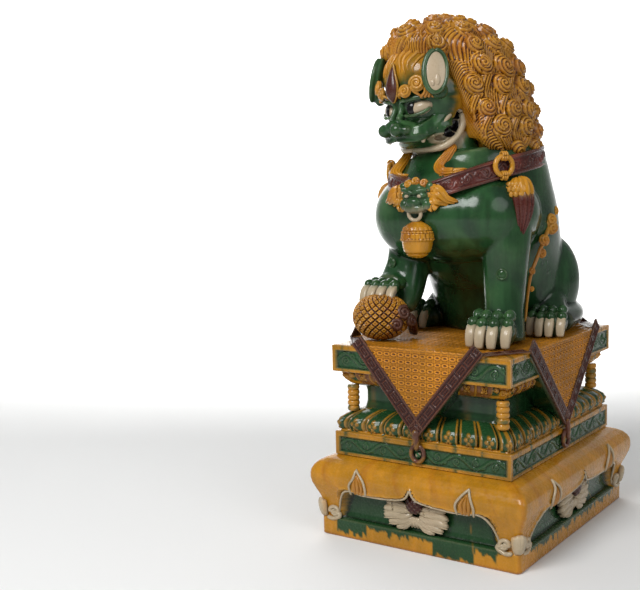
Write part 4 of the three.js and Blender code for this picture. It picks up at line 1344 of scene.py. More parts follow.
def raised_paw():
    """The right forepaw, spread over the ball."""
    claws, knuckles = [], []
    for k in TOES:
        x, lag = -203 + k * 31, abs(k) * 9
        knuckles += [
            ball((x, -214 + lag, 764), (15.5, 27, 19)),
            ball((x, -250 + lag, 762), (16, 18, 17)),
            ball((x, -262 + lag, 754), (7.5, 9, 12)),
            ball((x - 10, -258 + lag, 750), (6, 9, 10)),
            ball((x + 10, -258 + lag, 750), (6, 9, 10)),
        ]
        stops = [
            (x, -252 + lag, 758, 14, 11), (x, -272 + lag, 744, 14, 12), (x, -285 + lag, 722, 13, 10),
            (x, -291 + lag, 694, 9.5, 6),
        ]
        claws.append(strand(stops, 20, 16, 0.08, 0.62))
    return toes_done("right_forepaw", claws, knuckles, lambda piece: piece)


# ---------- lion: curls of hair ----------
def snail(at, radius, facing, start=0.0, hand=1, turns=2.3, tail=None, thick=None, dome=0.35):
    """A domed curl of hair, facing a direction; start is where its outer end lies, in degrees."""
    facing = np.array(facing, float) / np.linalg.norm(facing)
    side = np.cross((0, 0, 1.0), facing)
    side /= np.linalg.norm(side)
    up = np.cross(facing, side)
    thick = thick or radius / turns / 2 * 0.86
    spiral = coil((0, 0), radius - thick, turns, start, hand, 0.08, 70)
    lift = radius * dome * (1 - (np.hypot(*spiral.T) / radius) ** 2)
    flat = [np.column_stack([spiral, lift])]
    size = [np.linspace(thick, thick * 0.75, 70)]
    line = lambda f: np.asarray(at) + f[:, :1] * side + f[:, 1:2] * up + f[:, 2:3] * facing
    lumps = [cord(line(f), s, 10, 0.03) for f, s in zip(flat, size)]
    base = ball((0, 0, 0), (radius * 0.9, radius * 0.9, radius * 0.34), around=28, rings=16)
    move(base, line(points(base)))
    outward(base)
    lumps.append(base)
    if tail is not None:
        end = np.asarray(tail, float)
        for k in range(3):
            first = spiral[0] * (1 - 0.3 * k)
            line3 = line(np.array([[*first, lift[0]]]))[0]
            bend = (line3 + end) / 2 + side * hand * radius * 0.25
            lumps.append(
                cord(through([line3, bend, end], 24), np.linspace(thick, thick * 0.35, 24), 8, 0.05)
            )
    return lumps


def amber_hair(piece, reach=4, full=1.2):
    co = points(piece)
    tint = mix(AMBER, ORANGE, 0.55 * smoothstep(cloudy(co, 71, 90), 0.1, 1))
    return paint(piece, tint, reach=reach, full=full)


# ---------- lion: mane ----------
MANE = np.array([  # level rings from hem to crown: height, centre x, centre y, radius
    (1146, -22, -4, 206), (1172, -26, -14, 226), (1215, -28, -22, 232), (1320, -33, -34, 220),
    (1420, -42, -66, 204),
    (1478, -48, -92, 182), (1516, -52, -108, 146), (1543, -52, -114, 98), (1557, -52, -116, 44),
    (1561, -52, -116, 1),
], float)
HEAD_AT, HEAD_YAW = np.array((-111.0, -258.0, 1287.0)), -20.0
CURL_ROWS, CURLS_AROUND, GROOVE = 9, 16, 9.0


def mane_line():
    dense = through(MANE, 400)
    run = np.concatenate([[0], np.cumsum(np.hypot(np.diff(dense[:, 0]), np.diff(dense[:, 3])))])
    return dense, run / run[-1], run[-1]


MANE_LINE, MANE_RUN, MANE_LONG = mane_line()


def mane_ring(height):
    return np.column_stack([np.interp(height, MANE_RUN, MANE_LINE[:, k]) for k in range(4)])


def face_room(height, angle):
    """How far the hair draws back behind the face, or hangs forward over the forehead."""
    away = np.abs((np.degrees(angle) + 180) % 360 - 180)
    reach = np.interp(height, [0, 0.5], [66, 42])
    open_ = 1 - smoothstep(away, reach - 16, reach + 2)
    above = smoothstep(height, 0.5, 0.57)
    fringe = 9 * above * np.exp(-((away / 52) ** 2)) * (1 - smoothstep(height, 0.62, 1))
    return open_ * 120 * (1 - above) - fringe


def mane_point(height, angle, out):
    z, cx, cy, r = mane_ring(height).T
    ahead = mane_ring(np.clip(height + 0.004, 0, 1))
    behind = mane_ring(np.clip(height - 0.004, 0, 1))
    dz, dr = ahead[:, 0] - behind[:, 0], ahead[:, 3] - behind[:, 3]
    length = np.hypot(dz, dr) + 1e-9
    a = angle + math.radians(HEAD_YAW)
    r = r + out * dz / length
    return np.column_stack([cx + r * np.sin(a), cy - r * np.cos(a), z - out * dr / length])


def curl_centres():
    """Middles of the curls: (height, angle, radius, hand, start)."""
    random = np.random.default_rng(3)
    found = []
    for row in range(CURL_ROWS):
        height = (row + 0.45) / (CURL_ROWS - 0.1)
        radius = np.interp(height, MANE_RUN, MANE_LINE[:, 3])
        count = max(5, int(round(CURLS_AROUND * radius / 225)))
        for k in range(count):
            angle = (k + 0.5 * (row % 2) + random.uniform(-0.12, 0.12)) / count * 2 * np.pi
            high = height + random.uniform(-0.012, 0.012)
            away = abs((math.degrees(angle) + 180) % 360 - 180)
            if (high < 0.55 and away < 75 - 44 * high) or (high < 0.68 and away < 24):
                continue
            hand = 1 if (math.sin(angle) > 0) else -1
            if random.uniform() < 0.2:
                hand = -hand
            found.append((high, angle, random.uniform(27, 36), hand, random.uniform(0, 2 * np.pi)))
    found.append((0.985, 0.0, 34, 1, 0.0))
    return found


def mane_relief(height, angle):
    """Height of the hair over the mane's skin, and how high on a strand each point lies.

    Every curl is a domed spiral from which a waving lock runs down."""
    ring_r = mane_ring(height)[:, 3]
    away = np.abs((np.degrees(angle) + 180) % 360 - 180)
    hairline = np.interp(height, [0, 0.5, 0.56, 0.6], [66, 42, 20, 0])
    edge = away - hairline
    u = angle * np.maximum(ring_r, 60)
    v = height * MANE_LONG
    sway = 15 * np.sin(v / 58 + 2.2 * np.sin(angle * 3)) + 6 * np.sin(u / 47 + 1)
    falling = np.sin((u + sway) / GROOVE * 2 * np.pi)
    swept = np.sin((v + 24 * np.sin(u / 27 + v / 75) - 0.35 * np.abs(u)) / GROOVE * 2 * np.pi)
    beside = smoothstep(edge, 26, 10) * (height < 0.52)
    strands = falling * (1 - beside) + swept * beside
    brow_hair = np.clip(smoothstep(height, 0.54, 0.68) + (away > 60), 0, 1)
    out = -11 + 2.6 * strands - 6 * (1 - brow_hair) + 8 * beside * smoothstep(edge, 2, 14)
    best = np.full(len(height), 9.0)
    for high, at, size, hand, start in curl_centres():
        local_r = float(np.interp(high, MANE_RUN, MANE_LINE[:, 3]))
        if high > 0.98:
            du, dv = ring_r * np.sin(angle), ring_r * np.cos(angle)
        else:
            du = ((angle - at + np.pi) % (2 * np.pi) - np.pi) * (ring_r + local_r) / 2
            dv = v - high * MANE_LONG
        near = np.flatnonzero((np.abs(du) < size * 1.5) & (dv < size * 1.2) & (dv > -size * 3.2))
        du, dv = du[near], dv[near]
        rr, phi = np.hypot(du, dv), np.arctan2(dv, du)
        disc = rr / size
        arms = np.where(rr > 13, 2, 1)
        turning = rr / GROOVE * 2 * np.pi - hand * arms * phi + start * arms
        boss = 24 * np.clip(1 - disc**2.2, 0, 1) ** 0.7
        drop = np.clip(-dv / (2.9 * size), 0, 1)
        middle = hand * size * 0.5 * np.cos(drop * 3.6)
        wide = size * np.interp(drop, [0, 0.2, 0.6, 1], [0.5, 0.66, 0.5, 0.08])
        lock = np.where(dv < 0, np.abs(du - middle) / wide, 9.0)
        running = (du - middle) / GROOVE * 2 * np.pi + 1.2 * hand
        lock_boss = (15 - 9 * drop) * np.clip(1 - lock**2.2, 0, 1) ** 0.7
        round_part = disc < 1
        share = np.where(round_part, disc * 0.9, 1.2 * lock + 0.2)
        wave = np.sin(np.where(round_part, turning, running))
        here = -11 + np.where(round_part, np.maximum(boss, lock_boss), lock_boss)
        here = here + 3.0 * wave * smoothstep(rr, 0, 3)
        inside = np.where(round_part, smoothstep(1.02 - disc, 0, 0.08), smoothstep(1.0 - lock, 0, 0.15))
        closer = (share < best[near]) & (inside > 0)
        index = near[closer]
        out[index] = (out[near] * (1 - inside) + here * inside)[closer]
        strands[index] = (strands[near] * (1 - inside) + wave * inside)[closer]
        best[index] = share[closer]
    return out, strands


MANE_HEM = 0.93  # share of the rows that the hair takes; the rest close it below


def mane():
    around, along = 430, 216

    def sample(turn, down):
        angle = turn / around * 2 * np.pi
        share = down / along
        height = np.clip(1 - share / MANE_HEM, 0, 1)
        return angle, share, height

    def place(turn, down):
        angle, share, height = sample(turn, down)
        relief, _ = mane_relief(height, angle)
        top = smoothstep(height, 1.0, 0.985)
        room = face_room(height, angle)
        hidden = smoothstep(room, 40, 90)
        co = mane_point(height, angle, relief * (1 - hidden) * top - room)
        under = smoothstep(share, MANE_HEM, 1.0)[:, None]
        hub = np.array((MANE[0, 1], MANE[0, 2], MANE[0, 0] - 2))
        return co * (1 - under) + hub * under

    hair = wrap("mane", around, along, place, 80)
    angle, share, height = sample(count_back(hair, "turn"), count_back(hair, "down"))
    co = points(hair)
    _, strands = mane_relief(height, angle)
    groove = smoothstep(strands, 0.1, -0.9) * (1 - smoothstep(face_room(height, angle), 20, 60))
    tint = mix(AMBER, ORANGE, 0.5 * smoothstep(cloudy(co, 71, 90), 0.1, 1))
    tint = mix(tint, HAIR_SHADE, 0.75 * groove)
    paint(hair, tint, reach=5, full=2.0)
    return in_lion(hair, AMBER_GLAZE)


# ---------- lion: head, drawn facing -Y with the middle of the eyes at the origin ----------
def in_head(piece):
    return placed(piece, HEAD_AT, HEAD_YAW)


UPPER_LIP = [
    (0, -22, -88), (40, -18, -92), (76, 6, -88), (99, 44, -62), (110, 80, -27), (113, 106, 4),
    (114, 121, 6), (115, 132, -10),
]
LOWER_LIP = [
    (115, 132, -10), (116, 138, -42), (113, 122, -74), (105, 98, -97), (90, 80, -110), (66, 64, -116),
    (42, 52, -117), (0, 42, -117),
]
MOUTH = [  # hollows that open the mouth, widest at the back: place and radii
    ((120, 118, -18), (30, 13, 16)), ((120, 111, -46), (32, 17, 22)), ((118, 88, -68), (32, 21, 16)),
    ((104, 64, -86), (26, 20, 9)),
]


def head():
    lumps = [
        ball((0, 112, 44), (138, 124, 132), 0, 64, 40), ball((0, 42, 98), (106, 70, 84), 0, 48, 30),
        ball((0, 92, -54), (122, 92, 76), 0, 48, 30), ball((0, 8, -58), (66, 50, 32), 0, 40, 24),
        ball((0, 28, -74), (98, 60, 22), 0, 40, 24), ball((0, 134, -114), (102, 70, 32), 0, 40, 24),
        strand([(0, 152, -66, 116, 84), (6, 172, -140, 122, 98)], 48, 12, 0.02),
        ball((0, -40, -50), (22, 18, 18)),
    ]
    for s in (-1, 1):
        lumps += [
            ball((s * 27, -42, -60), (23, 21, 21)), ball((s * 50, -24, -62), (16, 17, 15)),
            strand(
                [
                    (s * 19, -32, -36, 9, 9), (s * 15, -16, -12, 8, 10), (s * 15, -10, 14, 9, 10),
                    (s * 18, -16, 34, 9, 8),
                ],
                16, 14,
            ),
            strand(
                [
                    (s * 14, -18, 24, 7, 8), (s * 44, -18, 25, 7, 8), (s * 76, -4, 31, 7, 8),
                    (s * 104, 22, 36, 6, 6),
                ],
                16, 18,
            ),
            strand(
                [
                    (s * 26, -14, -18, 5, 5), (s * 54, -14, -21, 6, 6), (s * 84, 2, -14, 6, 6),
                    (s * 108, 30, 6, 5, 5),
                ],
                16, 18,
            ),
            cord(through(UPPER_LIP, 70)[:34] * (s, 1, 1), 6.5, 12),
        ]
        for k, up in enumerate((13, 24, 35)):
            line = [(s * x * (1 - 0.02 * k), y - 3 + k * 1.5, z + up) for x, y, z in UPPER_LIP[1:6]]
            lumps.append(
                cord(
                    through(line, 30), np.interp(np.linspace(0, 1, 30), [0, 0.2, 0.7, 1], [5, 8.5, 7, 3]),
                    10,
                )
            )
    cuts = []
    for s in (-1, 1):
        cuts += [ball((s * at[0], at[1], at[2]), radii) for at, radii in MOUTH]
    skull = fuse("head", lumps, 3.0, 5, cuts)
    co = points(skull)
    x, y, z = co.T
    side = np.abs(x)
    tint = mix(
        GREEN * (1.25, 1.1, 1.1), GREEN * (4.5, 2.6, 3.2), 0.6 * smoothstep(cloudy(co, 81, 60), 0.1, 1)
    )
    run = z + 16 * wander(x + y * 0.6, 83, 42) + 6 * wander(x - y, 84, 13)
    amber = smoothstep(run, 66, 118)
    amber = np.maximum(amber, smoothstep(y + 14 * wander(z, 85, 24), 78, 112) * smoothstep(z, -52, 0))
    tint = mix(tint, AMBER, amber)
    lip = through(LOWER_LIP, 60)
    gap = np.full(len(co), 1e9)
    for at in lip:
        gap = np.minimum(
            gap, np.hypot(np.hypot(side - at[0], y - at[1]), z - at[2]) + 60 * (z > at[2] + 4)
        )
    tint = mix(tint, CREAM * 0.95, smoothstep(gap + 5 * wander(x + y, 86, 30), 32, 22))
    at, radii = MOUTH[3]
    gum = np.hypot((y - at[1]) / radii[1], (z - at[2]) / radii[2]) + 9 * (side < 76)
    tint = mix(tint, CREAM * 0.95, smoothstep(gum, 1.9, 1.5))
    # painted shade: the mouth's three deep hollows are darkened to near black
    mouth_shade = np.zeros(len(co))
    for at, radii in MOUTH[:3]:
        depth = ((side - at[0]) / radii[0]) ** 2 + ((y - at[1]) / radii[1]) ** 2 + (
            (z - at[2]) / radii[2]
        ) ** 2
        mouth_shade = np.maximum(mouth_shade, smoothstep(depth, 1.16, 1.0))
    tint = mix(tint, BLACK * 1.5, mouth_shade)
    paint(skull, tint, reach=9, full=1.8)
    made = [in_lion(in_head(skull))]
    made += [*mouth(), *eyes(), *ears(), *brows(), forehead_flame(), *beards()]
    return made


def mouth():
    lips, teeth = [], []
    for s in (-1, 1):
        upper, lower = through(UPPER_LIP, 70) * (s, 1, 1), through(LOWER_LIP, 70) * (s, 1, 1)
        lips.append(cord(upper[20:], np.interp(np.linspace(0, 1, 50), [0, 0.3, 1], [2, 7.5, 10]), 12))
        lips.append(cord(lower, np.interp(np.linspace(0, 1, 70), [0, 0.5, 1], [10, 10.5, 7]), 12))
        for line, way, spots in ((upper, -1, (22, 28, 34, 40, 46)), (lower, 1, (15, 21, 27, 33, 39, 45))):
            for k, spot in enumerate(spots):
                x, y, z = line[spot] - (s * 5, 0, 0)
                long = 22 if k == 3 else 15
                tooth = strand(
                    [
                        (x, y + 2, z + way * -2, 6, 5), (x, y + 2, z + way * long * 0.5, 6, 5),
                        (x, y + 2, z + way * long, 4, 3.6),
                    ],
                    12, 8, 0.2, 0.6,
                )
                teeth.append(tooth)
    lip = join("lips", lips)
    co = points(lip)
    paint(lip, mix(CREAM, GREEN, 0.5 * smoothstep(cloudy(co, 91, 40), 0.55, 1)), reach=4)
    tooth = join("teeth", teeth)
    paint(tooth, CREAM * 1.05, reach=4)
    return [in_lion(in_head(lip), CREAM_GLAZE), in_lion(in_head(tooth), CREAM_GLAZE)]


def eyes():
    made = []
    for s in (-1, 1):
        name = "lr"[s < 0]
        white = ball((0, 0, 0), (39, 22, 22), s * 34, 40, 24)
        co = points(white)
        co[:, 2] += 0.2 * (co[:, 0] * s * 0.83 + co[:, 1] * 0.56)
        move(white, co)
        placed(white, (s * 66, 16, 3))
        paint(white, CREAM * 1.05, reach=3)
        white.name = "eye_" + name
        pupil = placed(ball((0, 0, 0), (14.5, 6, 17), s * 30), (s * 55, -9, 1))
        paint(pupil, BLACK, reach=3)
        pupil.name = "pupil_" + name
        made += [in_lion(in_head(white), CREAM_GLAZE), in_lion(in_head(pupil), BODY_GLAZE)]
    return made


def ears():
    made = []
    for s in (-1, 1):
        name = "lr"[s < 0]
        t = np.linspace(0, 2 * np.pi, 60)
        rim = [
            cord(
                np.column_stack([np.full(60, 11.0), 29 * np.sin(t), 53 * np.cos(t) + 4 * np.sin(t)]),
                5.8 - 1.2 * np.sin(t), 14, 0.001,
            )
        ]
        rim.append(ball((0, 2, 0), (13, 31, 58), 0, 40, 28))
        rim.append(ball((-8, 10, -46), (16, 22, 22)))
        shell = fuse("ear_" + name, rim, 2.6, 2)
        inner = [
            ball((11, 0, 0), (5, 26, 49), 0, 36, 24), ball((14, 4, -20), (4.5, 7, 15), 0),
            ball((14, -8, -28), (4, 5, 9), 0),
        ]
        dish = join("ear_inner_" + name, inner)
        for piece, tint, glaze in (
            (shell, GREEN * (1.4, 1.1, 1.2), BODY_GLAZE), (dish, CREAM, CREAM_GLAZE)
        ):
            co = points(piece)
            lean = math.radians(10)
            move(
                piece, np.column_stack([co[:, 0] * math.cos(lean) - co[:, 2] * math.sin(lean), co[:, 1:]])
            )
            placed(piece, (128, 20, 101), -34, 1.16)
            if s < 0:
                flipped(piece)
            paint(piece, tint, reach=5)
            made.append(in_lion(in_head(piece), glaze))
    return made


def brows():
    made = []
    for s in (-1, 1):
        lumps = snail(
            (s * 54, -30, 50), 22, (s * 0.35, -1, 0.1), 200 if s > 0 else -20, -s, 2.0, (s * 24, -24, 30)
        )
        lumps += snail(
            (s * 88, -14, 70), 27, (s * 0.65, -1, 0.15), 200 if s > 0 else -20, -s, 2.2, (s * 96, 0, 30)
        )
        for k in range(4):
            lumps.append(
                cord(
                    through(
                        [
                            (s * (98 + 5 * k), -6 + 7 * k, 70 - k * 3),
                            (s * (104 + 3 * k), 2 + 7 * k, 48), (s * (92 + 8 * k), -6 + 9 * k, 28),
                        ],
                        20,
                    ),
                    4.5, 8,
                )
            )
        for k in range(5):  # hair running down the forehead
            across = 22 + 17 * k
            fall = []
            for high in (178, 160, 142, 124 - 3 * (k % 2), 108 - 8 * (k % 2)):
                x = across + 6 * math.sin(high / 14 + k) - (high - 108) * 0.1
                deep = max(0.02, 1 - (x / 106) ** 2 - ((high - 98) / 84) ** 2)
                fall.append((s * x, 42 - 70 * math.sqrt(deep) - 1, high))
            lumps.append(cord(through(fall, 30), np.linspace(7.5, 1.2, 30), 8))
        curl = join("brow_" + "lr"[s < 0], lumps)
        made.append(in_lion(in_head(amber_hair(curl)), AMBER_GLAZE))
    return made


def forehead_flame():
    core = strand(
        [
            (0, -20, 22, 7, 10), (0, -35, 44, 21, 14), (0, -36, 70, 23, 14), (0, -32, 100, 14, 11),
            (0, -25, 134, 2, 5),
        ],
        28, 30, 0.12,
    )
    rims = []
    for s in (-1, 1):
        line = [(0, -29, 20), (s * 20, -34, 40), (s * 25.5, -35, 68), (s * 16, -35, 100), (0, -31, 138)]
        rims.append(cord(through(line, 40), 3.4, 10))
    paint(core, AUBERGINE, reach=4)
    rim = join("flame_rim", rims)
    paint(rim, AMBER * 0.7 + GREEN * 0.3, reach=3)
    in_lion(in_head(rim), AMBER_GLAZE)
    core.name = "forehead_flame"
    return in_lion(in_head(core), DARK_GLAZE)


def grooved(piece, count, deep):
    """Cuts lengthwise grooves into a lock made by strand()."""
    turn = count_back(piece, "turn")
    sides = turn.max() + 1
    move(
        piece, points(piece) + normals(piece) * (deep * np.cos(turn / sides * 2 * np.pi * count))[:, None]
    )
    return piece


def beards():
    made = []
    locks = {
        "l": [
            (26, -186, 1184, 13, 10), (12, -206, 1150, 16, 12), (-4, -226, 1118, 19, 13),
            (14, -238, 1100, 17, 12), (50, -240, 1101, 12, 10), (92, -232, 1108, 3, 4),
        ],
        "r": [
            (-142, -160, 1170, 13, 10), (-152, -182, 1138, 16, 12), (-164, -206, 1108, 19, 13),
            (-152, -220, 1092, 16, 12), (-130, -228, 1090, 11, 10), (-104, -232, 1096, 3, 4),
        ],
    }
    for side, stops in locks.items():
        lock = grooved(strand(stops, 96, 60, 0.08), 11, 1.3)
        lock.name = "beard_" + side
        made.append(in_lion(amber_hair(lock, 3, 0.9), AMBER_GLAZE))
    return made


# ---------- lion: harness ----------
COLLAR = dict(cx=-14, cy=-32, rx=232, ry=272, low=1038, rise=114, lean=14, half=28)
COLLAR_LONG, COLLAR_SCROLLS = 1590, 30


def collar_point(angle, out=0.0, up=0.0):
    share = (1 - np.cos(angle)) / 2
    return np.column_stack(np.broadcast_arrays(
        COLLAR["cx"] + (COLLAR["rx"] + out) * np.sin(angle),
        COLLAR["cy"] - (COLLAR["ry"] + out) * np.cos(angle),
        COLLAR["low"] + COLLAR["rise"] * share**0.45 + COLLAR["lean"] * np.sin(angle) + up,
    ))


def collar():
    around, across, half = 560, 44, COLLAR["half"]
    face_rows = 26

    def section(down):
        """Out, up, and whether on the carved outer face."""
        q = down % across
        t = q / face_rows
        up = np.where(
            q <= face_rows, half - 2 * half * t,
            np.interp(q, [face_rows, 32, 38, across], [-half, -half, half, half]),
        )
        out = np.where(
            q <= face_rows, -6 + 8 * t, np.interp(q, [face_rows, 32, 38, across], [2, -58, -58, -6])
        )
        return out, up, q <= face_rows

    def relief(angle, up):
        s = angle / (2 * np.pi) * COLLAR_LONG
        cell = COLLAR_LONG / COLLAR_SCROLLS
        k = np.floor(s / cell)
        du, way = (s / cell - k - 0.5) * cell, np.where(k % 2 == 0, 1, -1)
        line = np.vstack([
            coil((4, 0), 13, 1.7, 160, 1, 0.15, 60),
            np.column_stack(
                [np.linspace(-26, 26, 50), 13 * np.sin(np.linspace(-26, 26, 50) / 26.5 * np.pi)]
            ),
            coil((-18, -7), 6, 1.1, 0, -1, 0.2, 24),
        ])
        carved = ridge(nearness(du, up * way, line), 2.5, 3.2)
        hems = ridge(np.abs(up) - half + 5.5, 3.0, 4.0)
        return np.maximum(carved * (np.abs(up) < half - 8), hems)

    def place(turn, down):
        angle = turn / around * 2 * np.pi
        out, up, carved = section(down)
        return collar_point(angle, out + np.where(carved, relief(angle, up), 0), up)

    strap = wrap("collar", around, across, place)
    co = points(strap)
    paint(
        strap, mix(AUBERGINE * 1.1, AUBERGINE * 2.2, smoothstep(cloudy(co, 95, 70), 0, 1)), reach=4,
        full=1.2,
    )
    return in_lion(strap, DARK_GLAZE)


def tassel(name, degrees):
    angle = math.radians(degrees)
    hook = collar_point(np.array([angle]), 8, 8)[0]
    out = np.array((math.sin(angle), -math.cos(angle), 0))
    hoop = [ring(hook, 28, 7.5, out, 56, 16)]
    side = np.cross((0, 0, 1.0), out)
    for k in (-1, 0, 1):
        for end in (1, -1):
            centre = hook + np.array((0, 0, 28 * end)) + side * k * 6.5
            loop = np.linspace(0, 2 * np.pi, 24)
            path = centre + np.outer(np.cos(loop) * 10, out) + np.outer(np.sin(loop) * 11.5, (0, 0, 1.0))
            hoop.append(cord(path, 3.2, 8, 0.001))
    hang = hook + side * (44 if degrees > 0 else -30)
    spot = lambda drop, push, r: (*(hang[:2] + out[:2] * push), hook[2] - drop, r, r * 0.8)
    cap = grooved(
        strand(
            [spot(34, 2, 10), spot(44, 6, 28), spot(58, 10, 38), spot(76, 12, 42), spot(88, 8, 36)], 96,
            30, 0.12,
        ),
        12, 1.8,
    )
    scales = [cap, *hoop]
    for row, (drop, r) in enumerate(((54, 33), (68, 41), (82, 42))):
        for k in range(11):
            a = angle + (k - 5 + 0.5 * (row % 2)) * 0.36
            at = hang + np.array(
                (math.sin(a) * r * 0.9, -math.cos(a) * r * 0.9, -drop)
            ) + out * 8 - out * r * 0.1
            scales.append(ball(at, (7, 7, 9), math.degrees(a), 14, 10))
    gold = join(name + "_ring_and_cap", scales)
    amber_hair(gold)
    hair = strand(
        [spot(72, 12, 34), spot(98, 18, 39), spot(132, 22, 33), spot(168, 20, 21), spot(206, 16, 5)], 120,
        60, 0.05,
    )
    grooved(hair, 15, 1.6)
    hair.name = name
    co = points(hair)
    paint(
        hair, mix(AUBERGINE * 1.3, AMBER * 0.6, 0.6 * smoothstep(co[:, 2], hook[2] - 96, hook[2] - 78)),
        reach=4, full=1.0,
    )
    return [in_lion(gold, AMBER_GLAZE), in_lion(hair, DARK_GLAZE)]


MASK = np.array((-38.0, -306.0, 1020.0))


def chest_mask():
    """A small lion mask with a swept mane and a ring in its mouth, over a barrel-shaped bell."""
    x, y, z = MASK
    face = [
        ball((x, y + 6, z + 4), (34, 22, 40)), ball((x, y - 14, z - 6), (17, 14, 12)),
        ball((x, y - 10, z - 22), (24, 14, 12)),
        ball((x - 17, y - 10, z + 10), (11, 9, 8)), ball((x + 17, y - 10, z + 10), (11, 9, 8)),
        ball((x - 25, y - 2, z - 12), (11, 12, 14)), ball((x + 25, y - 2, z - 12), (11, 12, 14)),
        ball((x - 30, y + 2, z + 30), (9, 8, 12)), ball((x + 30, y + 2, z + 30), (9, 8, 12)),
        strand(
            [(x - 30, y - 8, z + 24, 5, 5), (x - 10, y - 18, z + 20, 6, 6), (x, y - 18, z + 12, 5, 5)],
            12, 10,
        ),
        strand(
            [(x + 30, y - 8, z + 24, 5, 5), (x + 10, y - 18, z + 20, 6, 6), (x, y - 18, z + 12, 5, 5)],
            12, 10,
        ),
    ]
    for lump in face:
        move(lump, (points(lump) - MASK) * (1.45, 1.15, 1.2) + MASK + (0, 0, 4))
    green = fuse("chest_mask", face, 1.8, 2)
    co = points(green)
    pale = 0.75 * smoothstep(co[:, 2] + 8 * wander(co[:, 0], 61, 20), z - 10, z - 30)
    paint(green, mix(GREEN * (2.2, 1.5, 1.8), CREAM * 0.9, pale), reach=6, full=1.0)
    gold = []
    for s in (-1, 1):
        for k, (far, rise, droop) in enumerate(
            ((112, 12, -14), (104, 2, -20), (88, -10, -30), (66, -22, -40))
        ):
            stops = [
                (x + s * 26, y + 8, z + 34 - k * 15, 11, 9),
                (x + s * (26 + far * 0.4), y + 3, z + rise + 20 - k * 6, 13, 10),
                (x + s * far * 0.85, y + 12, z + rise * 0.6, 10, 8),
                (x + s * far * 1.08, y + 30, z + droop * 0.7 + 6, 2, 3),
            ]
            gold.append(grooved(strand(stops, 48, 30, 0.06), 5, 1.2))
        gold += snail((x + s * 26, y + 0, z + 50), 15, (s * 0.2, -1, 0.3), 0, s, 1.6)
    gold += snail((x, y - 2, z + 56), 15, (0, -1, 0.3), 0, 1, 1.6)
    hair = amber_hair(join("chest_mask_mane", gold))
    eyes_ = []
    for s in (-1, 1):
        eyes_.append(ball((x + s * 21, y - 20, z + 14), (7, 4, 5)))
    white = join("chest_mask_ring", [ring((x, y - 10, z - 36), 20, 5.5, (0, 1, 0.12), 40, 12), *eyes_])
    paint(white, CREAM, reach=3)
    return [in_lion(green), in_lion(hair, AMBER_GLAZE), in_lion(white, CREAM_GLAZE), bell()]


def bell():
    x, y, z = MASK + (0, 4, 0)
    around = 120
    stops = through(
        [
            (z - 58, 12), (z - 66, 26), (z - 74, 37), (z - 92, 44), (z - 112, 46.5), (z - 134, 44),
            (z - 150, 38), (z - 160, 28), (z - 166, 14),
        ],
        90,
    )

    def place(turn, down):
        k = np.clip(down - 1, 0, 89)
        a = turn / around * 2 * np.pi
        high, r = stops[k].T
        rope = 4.2 * ridge(high - (z - 112), 3.4, 1) * (1 + 0.5 * np.sin(a * 26 + 1.5))
        rope += 4.2 * ridge(high - (z - 90), 3.2, 1) * (1 + 0.5 * np.sin(a * 26))
        scale = 3.6 * np.abs(np.sin(a * 9)) ** 0.5 * (np.abs(high - (z - 101)) < 7)
        scale += 3.6 * np.abs(np.cos(a * 8)) ** 0.5 * (np.abs(high - (z - 80)) < 6)
        slot = -5 * ridge(high - (z - 153), 2.2, 1) * (np.abs(np.sin(a / 2 + np.pi / 4)) > 0.1)
        r = np.where((down == 0) | (down == 91), 0, r + rope + scale + slot)
        return np.column_stack([x + r * np.sin(a), y - r * 0.92 * np.cos(a), high])

    piece = wrap("bell", around, 91, place)
    amber_hair(piece, 3, 1.0)
    return in_lion(piece, AMBER_GLAZE)


# ---------- lion: ball, hair on the flanks, tail ----------
ORB_AT, ORB = np.array((-188.0, -268.0, 668.0)), np.array((86.0, 82.0, 71.0))
ORB_CELLS = 20  # blocks of the brocade around the ball


def brocade_ball():
    around, along = 260, 150

    def place(turn, down):
        a, t = turn / around * 2 * np.pi, down / along * np.pi
        unit = np.column_stack([np.sin(t) * np.cos(a), np.sin(t) * np.sin(a), np.cos(t)])
        p, q = a / (2 * np.pi) * ORB_CELLS, t / np.pi * ORB_CELLS / 2
        lattice = np.minimum(np.abs(((p + q) + 0.5) % 1 - 0.5), np.abs(((p - q) + 0.5) % 1 - 0.5))
        out = 8 * smoothstep(lattice, 0.06, 0.2) - 3.5 * np.exp(-(((lattice - 0.5) / 0.14) ** 2)) - 1
        fade = np.sin(t) ** 0.5
        return ORB_AT + unit * (ORB - 3 + (out * fade)[:, None])

    orb = wrap("brocade_ball", around, along, place)
    co = points(orb)
    amber = mix(AMBER, ORANGE * 0.9, 0.6 * smoothstep(cloudy(co, 17, 40), 0, 1))
    level = (np.linalg.norm((co - ORB_AT) / ORB, axis=1) - 1) * 78
    paint(orb, mix(AUBERGINE + 0 * co, amber, smoothstep(level, -1.6, 1.6)), reach=4, full=1.6)
    x, y, z = ORB_AT
    knot = []
    knot += snail((x + 82, y - 8, z + 16), 27, (0.9, -0.5, 0.25), 40, 1, 1.9)
    knot += snail((x + 74, y - 34, z - 16), 24, (0.7, -0.75, -0.1), 220, -1, 1.8)
    knot += snail((x + 92, y + 20, z - 8), 24, (1, -0.1, 0.1), 120, 1, 1.8)
    knot.append(
        strand(
            [
                (x + 84, y + 6, z + 10, 18, 12), (x + 84, y + 40, z - 18, 16, 10),
                (x + 74, y + 66, z - 44, 15, 9), (x + 62, y + 88, z - 60, 12, 7),
            ],
            24, 24, 0.06, 0.6,
        )
    )
    ribbon = join("ball_ribbon", knot)
    co = points(ribbon)
    co[:, 2] = np.maximum(co[:, 2], LION_BASE + 0.5)
    move(ribbon, co)
    paint(ribbon, AUBERGINE * 1.1, reach=4, full=1.2)
    return [in_lion(orb, AMBER_GLAZE), in_lion(ribbon, DARK_GLAZE)]


